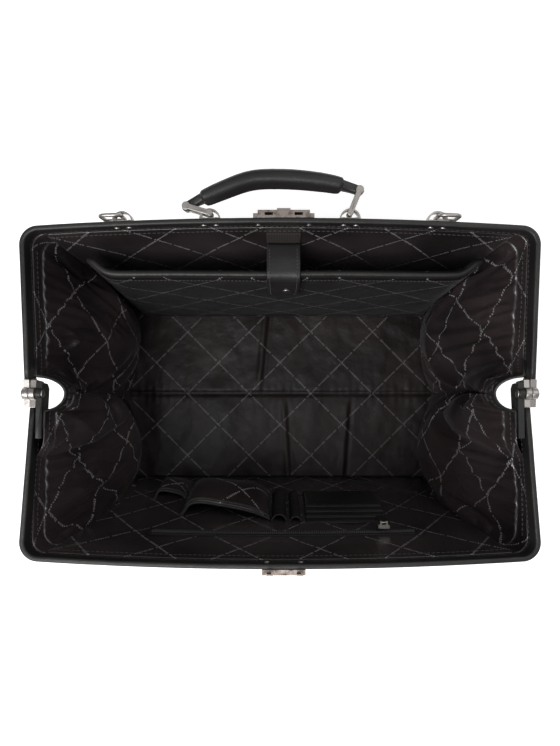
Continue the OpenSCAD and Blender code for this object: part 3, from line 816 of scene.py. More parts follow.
def dome(r: float, h: float, skirt: float = 0.0) -> list[tuple[float, float]]:
    """Return the outline of a domed head that stands h high."""
    arc = [(r * math.cos(a), h * math.sin(a)) for a in (math.radians(15 * k) for k in range(6))]
    return [(0.0, -skirt), (r, -skirt)] + arc + [(0.0, h)]


class RowTree:
    """Geometry Nodes that set short rods end to end along a line, as stitches or zip teeth."""

    def __init__(self) -> None:
        """Build the tree once."""
        self.tree = bpy.data.node_groups.new("rod_row", "GeometryNodeTree")
        face = self.tree.interface
        face.new_socket("Geometry", in_out="INPUT", socket_type="NodeSocketGeometry")
        self.keys = {}
        for label in ("Pitch", "Length", "Radius"):
            self.keys[label] = face.new_socket(label, in_out="INPUT", socket_type="NodeSocketFloat").identifier
        self.keys["Material"] = face.new_socket(
            "Material", in_out="INPUT", socket_type="NodeSocketMaterial"
        ).identifier
        face.new_socket("Geometry", in_out="OUTPUT", socket_type="NodeSocketGeometry")
        source = self.add("NodeGroupInput")
        line = self.add("GeometryNodeMeshToCurve", Mesh=source.outputs["Geometry"])
        even = self.add(
            "GeometryNodeResampleCurve", {"mode": "LENGTH"}, Curve=line.outputs[0], Length=source.outputs["Pitch"]
        )
        rod = self.add("GeometryNodeMeshCylinder", Radius=source.outputs["Radius"], Depth=source.outputs["Length"])
        rod.inputs["Vertices"].default_value = 6
        way = self.add("GeometryNodeInputTangent").outputs[0]
        turn = self.add("FunctionNodeAlignRotationToVector", {"axis": "Z"}, Vector=way)
        rods = self.add(
            "GeometryNodeInstanceOnPoints",
            Points=even.outputs[0],
            Instance=rod.outputs["Mesh"],
            Rotation=turn.outputs[0],
        )
        real = self.add("GeometryNodeRealizeInstances", Geometry=rods.outputs[0])
        dressed = self.add("GeometryNodeSetMaterial", Geometry=real.outputs[0], Material=source.outputs["Material"])
        self.add("NodeGroupOutput", Geometry=dressed.outputs[0])

    def add(self, kind: str, settings: dict[str, str] | None = None, **links: bpy.types.NodeSocket) -> bpy.types.Node:
        """Add one node, set its properties and link its inputs."""
        node = self.tree.nodes.new(kind)
        for key, value in (settings or {}).items():
            setattr(node, key, value)
        for key, socket in links.items():
            self.tree.links.new(socket, node.inputs[key])
        return node

    def row(
        self, name: str, lines: Iterable[Sequence[Vector]], finish: Finish, pitch: float, length: float, radius: float
    ) -> bpy.types.Object:
        """Make the rods along some lines.

        Args:
            name: Name of the piece.
            lines: Each line's points.
            finish: Finish of the rods.
            pitch: Distance between rods.
            length: Length of one rod.
            radius: Radius of one rod.

        Returns:
            A plain mesh object.
        """
        verts: list[Vector] = []
        edges: list[tuple[int, int]] = []
        for points in lines:
            first = len(verts)
            verts += points
            edges += [(first + i, first + i + 1) for i in range(len(points) - 1)]
        mesh = bpy.data.meshes.new(name)
        mesh.from_pydata(verts, edges, [])
        piece = new_object(name, mesh)
        made = piece.modifiers.new("rods", "NODES")
        made.node_group = self.tree
        values = {"Pitch": pitch, "Length": length, "Radius": radius, "Material": finish.material()}
        for label, value in values.items():
            made[self.keys[label]] = value
        return settle(piece)


ROWS = RowTree()


def stitches(
    name: str, lines: Iterable[Sequence[Vector]], ride: Ride, pitch: float = 0.0038, radius: float = 0.00034
) -> bpy.types.Object:
    """Sew a row of stitches along some lines."""
    row = ROWS.row(name, lines, Finish.THREAD, pitch, pitch * 0.68, radius)
    return dress(row, Finish.THREAD, ride)


def loft(name: str, rings: Sequence[Sequence[Vector]]) -> bpy.types.Object:
    """Join closed rings of points into one tube with closed ends."""
    bm = bmesh.new()
    made = [[bm.verts.new(p) for p in ring] for ring in rings]
    count = len(rings[0])
    for one, two in zip(made, made[1:]):
        for k in range(count):
            n = (k + 1) % count
            bm.faces.new((one[k], one[n], two[n], two[k]))
    bm.faces.new(made[0][::-1])
    bm.faces.new(made[-1])
    bmesh.ops.recalc_face_normals(bm, faces=bm.faces)
    mesh = bpy.data.meshes.new(name)
    bm.to_mesh(mesh)
    bm.free()
    return new_object(name, mesh)


def rounded_ring(width: float, height: float, r: float, corner_steps: int = 4) -> list[tuple[float, float]]:
    """Return a rounded rectangle about the origin as (across, up) points."""
    ring = []
    for q, (sx, sy) in enumerate(((1, 1), (-1, 1), (-1, -1), (1, -1))):
        for k in range(corner_steps + 1):
            a = math.radians(90 * q + 90 * k / corner_steps)
            ring.append((sx * (width / 2 - r) + r * math.cos(a), sy * (height / 2 - r) + r * math.sin(a)))
    return ring


# ------------------------------------------------------------------ the shape


class Side(Enum):
    """Back, with the handle, or front, with the catch."""

    BACK = 1
    FRONT = -1

    @property
    def wall(self) -> str:
        """Body of this side's wall."""
        return self.name.lower() + "_wall"

    @property
    def frame(self) -> str:
        """Body of this side's frame half."""
        return self.name.lower() + "_frame"


def joint_place(name: str) -> Vector:
    """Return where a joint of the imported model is."""
    return Vector(next(j for j in frame["joints"] if j["name"] == name)["pos_m"])


@dataclass
class Shape:
    """Driving places of the bag, in metres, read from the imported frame."""

    bow: float = 6.5 * MM
    corner: float = 17 * MM
    base_corner: float = 18 * MM
    thick: float = 4.5 * MM
    height: float = 17 * MM
    drop: float = 0.2 * MM
    nest: float = 5.5 * MM
    tilt: float = math.radians(5)
    cap: float = 12.7 * MM

    def __post_init__(self) -> None:
        """Read the sizes that the frame holds."""
        self.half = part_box("back_cover")[1].x
        base_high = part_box("base_leather")[1]
        self.base_x, self.base_y = base_high.x, base_high.y
        self.pivot = joint_place("frame_close").z
        fold = joint_place("back_fold")
        hinge = joint_place("back_wall_lean")
        self.foot = hinge.z
        self.lean = math.atan2(fold.y - hinge.y, fold.z - hinge.z)
        self.length = math.hypot(fold.y - hinge.y, fold.z - hinge.z)
        self.fold = fold
        self.reach = (fold.y * math.cos(self.tilt) + (fold.z - self.pivot) * math.sin(self.tilt)) + self.thick / 2
        self.up = Vector((0, -math.sin(self.tilt), math.cos(self.tilt)))

    def face(self, x: float) -> float:
        """Return the reach of a frame half's long side at x."""
        return self.reach + self.bow * max(0.0, 1 - (x / (self.half - self.corner)) ** 2)

    def band(self, side: Side, x: float, u: float, v: float) -> Vector:
        """Map a frame half's own axes to the bag's."""
        c, s = math.cos(self.tilt), math.sin(self.tilt)
        return Vector((x, side.value * (u * c - v * s), self.pivot + u * s + v * c))

    def wall(self, side: Side, x: float, n: float, s: float) -> Vector:
        """Map a wall's own axes, n inwards and s up, to the bag's."""
        share = min(1.0, max(0.0, s / self.length))
        bow = (self.face(x) - self.reach) * share
        y = self.base_y + s * math.sin(self.lean) - n * math.cos(self.lean) + bow
        return Vector((x, side.value * y, self.foot + s * math.cos(self.lean) + n * math.sin(self.lean)))

    def u_line(self, inset: float, nest: float, start: float) -> list[tuple[float, float, float, float]]:
        """Return a frame half's line as (x, u, outward x, outward u), this far inside its face."""
        r, c = self.corner - inset, self.half - self.corner
        y = self.reach - self.corner
        half_line = []
        for u in steps(start, y, 12)[:-1]:
            half_line.append((-self.half + inset, u, -1.0, 0.0))
        for a in (math.radians(180 - 9 * k) for k in range(11)):
            half_line.append((-c + r * math.cos(a), y + r * math.sin(a), math.cos(a), math.sin(a)))
        middle = [(x, self.face(x) - inset, 0.0, 1.0) for x in steps(-c, c, 40)[1:-1]]
        line = half_line + middle + [(-x, u, -a, b) for x, u, a, b in reversed(half_line)]
        lean = [max(0.0, 1 - u / y) * nest for _, u, _, _ in line]
        return [(x - math.copysign(n, x), u, a, b) for (x, u, a, b), n in zip(line, lean)]


SHAPE = Shape()


def folded(side: Side) -> Ride:
    """Return the ride of a piece that reaches a wall's top edge: the front's rides its wall, the back's names its wall
    and its frame half.
    """
    if side is Side.FRONT:
        return Ride(side.wall)
    fold = SHAPE.fold
    return Ride(side.wall, side.frame, (0, fold.y, fold.z - 0.02), (0, fold.y, fold.z))


# ----------------------------------------------------------------- leather body


@dataclass
class Skin:
    """One layer of the bag's body: its place off the outer face, its folds and its finish."""

    label: str
    finish: Finish
    base_inset: float
    mouth_inset: float
    thick: float
    inward: bool
    wall_fold: float
    side_fold: float
    side_bulge: float
    hinge_x: dict[Side, float]
    crease_in: dict[Side, float]
    notch_drop: float = 15 * MM
    notch_x: float = 198 * MM
    cover: tuple[float, float] = (14 * MM, 42 * MM)
    notch_half: float = 15.5 * MM
    upper: float = 0.93
    slack: float = 0.0

    def wall_point(self, side: Side, a: float, t: float) -> Vector:
        """Return a point of a wall at share a across and t up."""
        foot_x = SHAPE.base_x - SHAPE.base_corner - self.base_inset * 0.3
        x = a * (lerp(foot_x, SHAPE.half - SHAPE.corner, t) - self.crease(side, t))
        n = lerp(self.base_inset, self.mouth_inset - SHAPE.thick / 2, t)
        calm = math.sin(math.pi * min(1, t * 1.02)) * (1 - a**6)
        ridges = 0.5 - abs(math.sin(t * 17 + x * 5 + 2.5 * ruffle(x * 9, t * 3, side.value)))
        n += self.wall_fold * calm * (0.8 * ruffle(x * 11, t * 4, 3.1 * side.value) + 0.5 * ruffle(x * 34, t * 6, 7))
        n += 0.7 * self.wall_fold * calm * ridges * ease((t - 0.6) / 0.25)
        return SHAPE.wall(side, x, n, t * SHAPE.length)

    def crease(self, side: Side, t: float) -> float:
        """Return how far the corner crease is drawn in at share t up."""
        return self.crease_in[side] * math.sin(math.pi * min(1.0, max(0.0, t)) ** 0.75)

    def gusset_point(self, side: Side, hand: int, q: float, t: float) -> Vector:
        """Return a point of a side gusset half, from the wall at q 0 to the middle at q 1."""
        corner = 0.16
        edge = self.wall_point(side, float(hand), t)
        reach, deep = abs(edge.x), abs(edge.y)
        r = lerp(SHAPE.base_corner - self.base_inset * 0.7, SHAPE.corner - self.mouth_inset, t)
        turn = min(1.0, q / corner) * math.pi / 2
        y = deep - r + r * math.cos(turn)
        x = reach + r * math.sin(turn)
        if q > corner:
            y = lerp(deep - r, 0.0, (q - corner) / (1 - corner))
        x += self.crease(side, t) * ease(q / 0.4)
        hinge_x = self.hinge_x[side]
        cover = self.cover[0] if side is Side.BACK else self.cover[1]
        covered = 1 - ease((y - cover) / 0.022)
        x = lerp(x, min(x, hinge_x), covered * ease((t - 0.45) / 0.45))
        middle = ease((deep - y) / deep)
        top = SHAPE.pivot + y * math.tan(SHAPE.tilt) - lerp(SHAPE.height + SHAPE.drop, 3.5 * MM, covered)
        notch = max(0.0, 1 - (y / self.notch_half) ** 2) ** 0.5
        top -= self.notch_drop * notch
        x -= (hinge_x - self.notch_x) * notch * ease((t - 0.70) / 0.28)
        z = lerp(edge.z, lerp(SHAPE.foot, top, t), min(1.0, q / corner))
        shift = self.side_bulge * math.sin(math.pi * max(0.0, t) ** 0.85) * middle
        shift += self.folds(side, hand, y, z, t) * ease((deep - y) / 0.06)
        return Vector((hand * (x - shift), side.value * y, z))

    def folds(self, side: Side, hand: int, y: float, z: float, t: float) -> float:
        """Return how far the long folds that fan out from the hinge push a gusset in."""
        dy, dz = side.value * y + 0.012, SHAPE.pivot - z
        fan = math.atan2(dy, dz)
        away = math.hypot(dy, dz)
        drift = ruffle(away * 7, hand * 3.0, fan * 1.5)
        wave = 0.55 - abs(math.sin(fan * 4.5 + 2.4 * drift + hand))
        wave += 0.5 * (0.5 - abs(math.sin(fan * 9 + 3.5 * drift + away * 16)))
        wave += 0.9 * ruffle(y * side.value * 20, z * 13, hand * 5.0)
        gather = math.sin(y * 520 + 3 * ruffle(y * 40, 1.0, hand)) * ease((t - 0.5) / 0.4) * (1 - ease((t - 0.9) / 0.1))
        return (self.side_fold * wave * ease(away / 0.09) + 0.16 * self.side_fold * gather) * math.sin(
            math.pi * min(1.0, max(0.0, t) * 1.02)
        ) ** 0.7

    def build(self, walls: dict[Side, list[str]], gussets: dict[int, list[str]]) -> None:
        """Make every piece of this layer.

        Args:
            walls: CAD nodes that each wall stands for.
            gussets: CAD nodes that the gusset on each hand stands for.
        """
        for side in Side:
            wall = surface(
                f"{side.name.lower()}_{self.label}",
                lambda a, t: self.wall_point(side, a, t),
                steps(-1, 1, 130),
                steps(-0.004, 1, 80),
                lambda a, t: (a * SHAPE.half, t * SHAPE.length),
                self.thick,
                (side is Side.BACK) == self.inward,
            )
            dress(wall, self.finish, folded(side), walls[side])
            for hand in (-1, 1):
                self.gusset(side, hand, gussets[hand])

    def gusset(self, side: Side, hand: int, replaced: list[str]) -> None:
        """Make the lower and upper parts of one gusset half."""
        flip = ((side is Side.BACK) == self.inward) == (hand > 0)
        tag = f"{side.name.lower()}_{'right' if hand > 0 else 'left'}_gusset_{self.label}"
        edge = SHAPE.base_y * side.value
        anchor = (0, 0, SHAPE.pivot - SHAPE.height - SHAPE.drop)
        lower = Ride("base", side.wall, (0, 0, 0), (0, edge, 0))
        up = (0, side.value * SHAPE.up.y, SHAPE.up.z)
        upper = Ride(side.frame, start=anchor, squash_axis=up, keep=0.15)
        parts = (("lower", steps(-0.004, self.upper, 66), lower), ("upper", steps(self.upper, 1, 6), upper))
        for label, levels, ride in parts:
            piece = surface(
                f"{tag}_{label}",
                lambda q, t: self.gusset_point(side, hand, q, t),
                [0.16 * k / 8 for k in range(8)] + steps(0.16, 0.86, 48)[:-1] + steps(0.86, 1, 24),
                levels,
                lambda q, t: (hand * (1 - q) * SHAPE.fold.y * side.value + 0.02, t * SHAPE.length),
                0,
                not flip,
            )
            if self.slack and label == "lower":
                pull = Vector((-hand * 1.6, 0, -5))
                Slack(self.slack).relax(piece, pull, Vector((hand, 0, 0)), len(levels))
            walled(piece, self.thick)
            dress(piece, self.finish, ride, replaced if label == "lower" and side is Side.BACK else ())
            self.slack and label == "lower"


@dataclass
class Body:
    """The leather outside, the satin inside, and the base."""

    leather: Skin = None
    satin: Skin = None

    def __post_init__(self) -> None:
        """Set both layers."""
        outer = {Side.BACK: 219.5 * MM, Side.FRONT: 211.8 * MM}
        inner = {Side.BACK: 218 * MM, Side.FRONT: 210.5 * MM}
        straight = {Side.BACK: 0.0, Side.FRONT: 0.0}
        drawn = {Side.BACK: 5 * MM, Side.FRONT: 17 * MM}
        self.leather = Skin(
            "leather",
            Finish.HIDE,
            base_inset=0.0,
            mouth_inset=1 * MM,
            thick=1.6 * MM,
            inward=False,
            wall_fold=1.6 * MM,
            side_fold=1.6 * MM,
            side_bulge=12 * MM,
            hinge_x=outer,
            crease_in=straight,
            notch_x=199.4 * MM,
            cover=(14 * MM, 26 * MM),
        )
        self.satin = Skin(
            "lining",
            Finish.SATIN,
            base_inset=3.2 * MM,
            mouth_inset=4.9 * MM,
            thick=0.5 * MM,
            inward=True,
            wall_fold=2.2 * MM,
            side_fold=10 * MM,
            side_bulge=17 * MM,
            hinge_x=inner,
            crease_in=drawn,
            slack=0.07,
        )

    def build(self) -> None:
        """Make the body."""
        self.leather.build(
            {Side.BACK: ["back_wall"], Side.FRONT: ["front_wall"]}, {-1: ["gusset_left"], 1: ["gusset_right"]}
        )
        self.satin.build(
            {Side.BACK: ["back_lining"], Side.FRONT: ["front_lining"]},
            {-1: ["gusset_lining_left"], 1: ["gusset_lining_right"]},
        )
        self.base()
        self.seams()
        self.hems()
        self.floor()

    def base(self) -> None:
        """Sew the piping round the base."""
        x, y, r = SHAPE.base_x, SHAPE.base_y, SHAPE.base_corner
        ring = []
        for q, (sx, sy) in enumerate(((1, 1), (-1, 1), (-1, -1), (1, -1))):
            for k in range(9):
                a = math.radians(90 * q + 11.25 * k)
                ring.append(Vector((sx * (x - r) + r * math.cos(a), sy * (y - r) + r * math.sin(a), 5.4 * MM)))
        dense = []
        for p, n in zip(ring, ring[1:] + ring[:1]):
            dense += [p.lerp(n, k / 12) for k in range(12 if (n - p).length > 0.05 else 1)]
        piping = tube("base_welt", dense, 1.9 * MM, 10, True)
        dress(piping, Finish.TRIM, Ride("base"), ["base_piping"])
        for side in Side:
            line = [SHAPE.wall(side, px, -0.3 * MM, 11 * MM) for px in steps(-x + 0.02, x - 0.02, 60)]
            stitches(f"{side.name.lower()}_base_stitch", [line], Ride(side.wall), 4.2 * MM)

    def seams(self) -> None:
        """Sew the piped corner seams of the leather."""
        for side in Side:
            welts, rows = [], []
            for hand in (-1, 1):
                path = [self.leather.gusset_point(side, hand, 0.02, t) for t in steps(0.0, 0.985, 60)]
                welts.append(tube(f"welt_{hand}", path, 1.7 * MM, 8))
                inner = [self.leather.wall_point(side, hand * 0.97, t) for t in steps(0.02, 0.97, 60)]
                rows.append([p + Vector((0, side.value * 0.3 * MM, 0)) for p in inner])
            dress(joined(f"{side.name.lower()}_corner_welts", welts), Finish.TRIM, folded(side))
            stitches(f"{side.name.lower()}_corner_stitches", rows, folded(side), 4.2 * MM)

    def hems(self) -> None:
        """Sew the lining's hem under the frame."""
        for side in Side:
            inward = Vector((0, -side.value * 0.5 * MM, 0))
            line = [self.satin.wall_point(side, a, 0.972) + inward for a in steps(-0.985, 0.985, 90)]
            stitches(f"{side.name.lower()}_hem_stitch", [line], folded(side), 4.4 * MM)
            for hand in (-1, 1):
                inside = Vector((-hand * 0.5 * MM, 0, 0))
                run = [self.satin.gusset_point(side, hand, q, 0.972) + inside for q in steps(0.17, 0.98, 90)]
                tag = f"{side.name.lower()}_{'right' if hand > 0 else 'left'}_hem_stitch"
                stitches(tag, [run], Ride(side.frame), 4.4 * MM)
                edge = [self.satin.gusset_point(side, hand, q, 1.0) for q in steps(0.8, 1.0, 60)]
                welt = tube(tag.replace("hem_stitch", "notch_welt"), edge, 1.3 * MM, 8)
                dress(welt, Finish.TRIM, Ride(side.frame))

    def floor(self) -> None:
        """Lay the pleated floor lining with its gathered middle seam."""
        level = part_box("floor_lining")[1].z
        wide, deep = SHAPE.base_x - 5 * MM, SHAPE.base_y - 5 * MM

        def point(x: float, y: float) -> Vector:
            """Return the height of the floor lining at x, y."""
            seam = hump(y, 0, 3.2 * MM)
            gather = hump(y, 0, 13 * MM) * (0.8 * ruffle(x * 150, 0, 2) + 0.5 * math.sin(x * 620)) * 0.5 * MM
            pleats = 0.0
            for centre, lean, behind in ((-30 * MM, 0.10, True), (4 * MM, -0.06, False), (92 * MM, 0.07, False)):
                if (y > 0) == behind:
                    off = x - centre - lean * y
                    pleats += (hump(off, 0, 4 * MM) - 0.7 * hump(off, 6 * MM, 3 * MM)) * 2.3 * MM * ease(abs(y) / 0.03)
            swell = ruffle(x * 13, y * 13, 1) + 0.5 * ruffle(x * 34, y * 13, 4) + 0.25 * ruffle(x * 80, y * 60, 8)
            swell *= 2.2 * MM
            edge = max(0.0, abs(x) / wide - 0.86) / 0.14
            curl = 3 * MM * edge**2
            return Vector((x, y, level + 1.2 * MM + swell + gather + pleats + curl - 2.4 * MM * seam))

        piece = surface("floor_lining_cloth", point, steps(-wide, wide, 220), steps(-deep, deep, 120), None, 0.5 * MM)
        # The floor lining takes the darker satin copy: painted shade.
        dress(piece, Finish.FLOOR, Ride("base"), ["floor_lining"])
        seam = [point(x, 1.6 * MM) + Vector((0, 0, 0.6 * MM)) for x in steps(-wide * 0.96, wide * 0.96, 120)]
        stitches("floor_seam_stitch", [seam], Ride("base"), 3.4 * MM)


# ---------------------------------------------------------------- frame halves


@dataclass
class FrameHalf:
    """Leather over the steel strip of one frame half."""

    side: Side
    swell: float = 0.35 * MM

    def build(self) -> None:
        """Wrap the band, and sew its lower edge."""
        nest = 0.0 if self.side is Side.BACK else SHAPE.nest
        mid = -SHAPE.drop - SHAPE.height / 2
        ring = rounded_ring(SHAPE.thick + self.swell, SHAPE.height, 1.7 * MM)
        rings = []
        for x, u, ax, au in SHAPE.u_line(SHAPE.thick / 2, nest, SHAPE.cap):
            wave = 0.12 * MM * ruffle(x * 60, u * 60, 2)
            rings.append(
                [SHAPE.band(self.side, x + ax * (a + wave), u + au * (a + wave), mid + b) for a, b in ring]
            )
        name = self.side.name.lower()
        dress(loft(f"{name}_frame_leather", rings), Finish.TRIM, Ride(self.side.frame), [f"{name}_cover"])
        lines = []
        for inset in (-0.25 * MM, SHAPE.thick + 0.25 * MM):
            low = [SHAPE.band(self.side, x, u, mid - 5.6 * MM) for x, u, _, _ in SHAPE.u_line(inset, nest, SHAPE.cap)]
            lines.append(low)
        stitches(f"{name}_frame_stitch", lines, Ride(self.side.frame), 4.6 * MM, 0.3 * MM)


# ------------------------------------------------------------- back wall pieces


@dataclass
class LaptopPocket:
    """The padded pocket on the back wall, its piped mouth, its strap and the ribbed patch."""

    x0: float = -185 * MM
    x1: float = 194 * MM
    foot: float = 5 * MM
    top: float = 238 * MM
    gap: float = 20 * MM
    thick: float = 11 * MM
    strap_x: float = 3.3 * MM
    strap_w: float = 32 * MM

    def off(self, x: float, s: float) -> float:
        """Return how far the panel's middle stands off the lining plane."""
        rise = max(0.0, s - 20 * MM) / (self.top - 20 * MM)
        share = (x - self.x0) / (self.x1 - self.x0)
        ends = 1 - 0.72 * hump(share, 0, 0.035) - 0.72 * hump(share, 1, 0.035)
        sway = 1.5 * MM * ruffle(x * 9, s * 5, 1) + 2.2 * MM * math.sin(share * math.pi) ** 2
        return 10 * MM + self.gap * rise * ends + sway * rise

    def place(self, p: Vector) -> Vector:
        """Map the pad's own axes to the bag's."""
        share = (p.x - self.x0) / (self.x1 - self.x0)
        crown = 0.86 + 0.14 * math.sin(math.pi * min(1.0, max(0.0, p.z / self.top)))
        pinch = 1 - 0.35 * (hump(share, 0, 0.02) + hump(share, 1, 0.02))
        quilt = 0.6 * MM * ruffle(p.x * 22, p.z * 18, 6)
        dip = 3 * MM * math.sin(math.pi * share) * max(0.0, p.z / self.top) ** 4
        return SHAPE.wall(Side.BACK, p.x, self.off(p.x, p.z) + p.y * crown * pinch + quilt, p.z - dip)

    def build(self) -> None:
        """Make the pocket."""
        t = self.thick
        pad = block("laptop_pad", (self.x0, -t / 2, self.foot), (self.x1, t / 2, self.top), self.place, 4 * MM, 7 * MM)
        # The pocket pad takes the darker satin copy: painted shade.
        dress(pad, Finish.POCKET, Ride("back_wall"), ["laptop_pocket"])
        xs = steps(self.x0 + 2 * MM, self.x1 - 2 * MM, 90)
        mouth = [self.place(Vector((x, 0, self.top))) for x in xs]
        path = [self.place(Vector((xs[0], 0, self.top - k * 6 * MM))) for k in range(12, 0, -1)] + mouth
        path += [self.place(Vector((xs[-1], 0, self.top - k * 6 * MM))) for k in range(1, 13)]
        welt = tube("laptop_mouth_welt", path, 3.1 * MM, 12)
        dress(welt, Finish.TRIM, Ride("back_wall"), ["laptop_binding"])
        rows = []
        for face in (-1, 1):
            rows.append([self.place(Vector((x, face * t * 0.53, self.top - 7 * MM))) for x in xs])
        stitches("laptop_mouth_stitch", rows, Ride("back_wall"), 3.6 * MM)
        self.patch()
        self.strap()

    def patch(self) -> None:
        """Sew the ribbed patch on the wall over the pocket."""
        half = self.strap_w / 2
        low, high = (self.strap_x - half, 2.4 * MM, self.top + 2 * MM), (self.strap_x + half, 4.4 * MM, 264 * MM)
        piece = block("ribbed_patch", low, high, lambda p: SHAPE.wall(Side.BACK, *p), 0.5 * MM, 4 * MM)
        dress(piece, Finish.RIBBED, Ride("back_wall"), ["loop_patch"])

    def strap_line(self) -> list[tuple[float, float]]:
        """Return the strap's line as (inwards, up) points, from the wall over the mouth and down."""
        behind = [(6 * MM, 243 * MM), (14 * MM, 243 * MM), (21 * MM, 243.5 * MM)]
        face = self.off(self.strap_x, self.top) + self.thick / 2 + 1.6 * MM
        over = [(face - 5 * MM, 243 * MM), (face - 1.5 * MM, 241 * MM), (face + 0.6 * MM, 236 * MM)]
        levels = steps(228 * MM, 178 * MM, 8)
        down = [(self.off(self.strap_x, s) + self.thick / 2 * 0.95 + 2.4 * MM, s) for s in levels]
        return behind + over + down

    def strap(self) -> None:
        """Make the closing strap with its edge stitching and snap."""
        raw = [Vector((0, n, s)) for n, s in self.strap_line()]
        ends = [0.0]
        for a, b in zip(raw, raw[1:]):
            ends.append(ends[-1] + (b - a).length)

        def along(distance: float) -> tuple[Vector, Vector]:
            """Return the line's point and its inward normal at a distance."""
            k = max(i for i in range(len(ends) - 1) if ends[i] <= distance or i == 0)
            share = (distance - ends[k]) / (ends[k + 1] - ends[k])
            first, last = raw[max(0, k - 1)], raw[min(len(raw) - 1, k + 2)]
            way = (last - first).normalized()
            return raw[k].lerp(raw[k + 1], share), Vector((0, -way.z, way.y))

        def place(p: Vector) -> Vector:
            """Map (across, off the line, along the line) to the bag's axes."""
            spot, normal = along(p.z)
            end = max(0.0, p.z - ends[-1] + 9 * MM) / (9 * MM)
            narrow = 1 - 0.16 * end**2
            spot = spot + normal * (p.y + 0.5 * MM * (abs(p.x) / 0.016) ** 2)
            return SHAPE.wall(Side.BACK, self.strap_x + p.x * narrow, spot.y, spot.z)

        half, over_at = self.strap_w / 2, ends[5]
        piece = block("closing_strap", (-half, -1.5 * MM, 0), (half, 1.5 * MM, ends[-1]), place, 1.0 * MM, 3.5 * MM)
        before, after = (place(Vector((0, 0, over_at + k * 4 * MM))) for k in (-1, 1))
        bend = Ride("back_wall", "strap_tab", before, after)
        dress(piece, Finish.TRIM, bend, ["strap_root", "strap_tab"])
        rows = []
        for hand in (-1, 1):
            across = hand * (half - 3 * MM)
            row = []
            for d in steps(6 * MM, ends[-1] - 4 * MM, 50):
                row.append(place(Vector((across * (1 if d < ends[-1] - 9 * MM else 0.93), 1.9 * MM, d))))
            rows.append(row)
        stitches("strap_stitch", rows, bend, 3.4 * MM)
        spot = place(Vector((self.strap_w * 0.1, 1.5 * MM, ends[-1] - 21 * MM)))
        deep = place(Vector((self.strap_w * 0.1, 0.5 * MM, ends[-1] - 21 * MM)))
        cap = ((0, -0.6), (4.4, -0.6), (4.6, 0.6), (3.9, 1.2), (3.2, 1.1), (2.6, 1.6), (1.2, 1.9), (0, 2.0))
        outline = [(r * MM, h * MM) for r, h in cap]
        snap = lathe("strap_snap_cap", spot, spot - deep, outline)
        dress(snap, Finish.NICKEL, Ride("strap_tab"), ["strap_snap"])


# ------------------------------------------------------------ front wall pieces


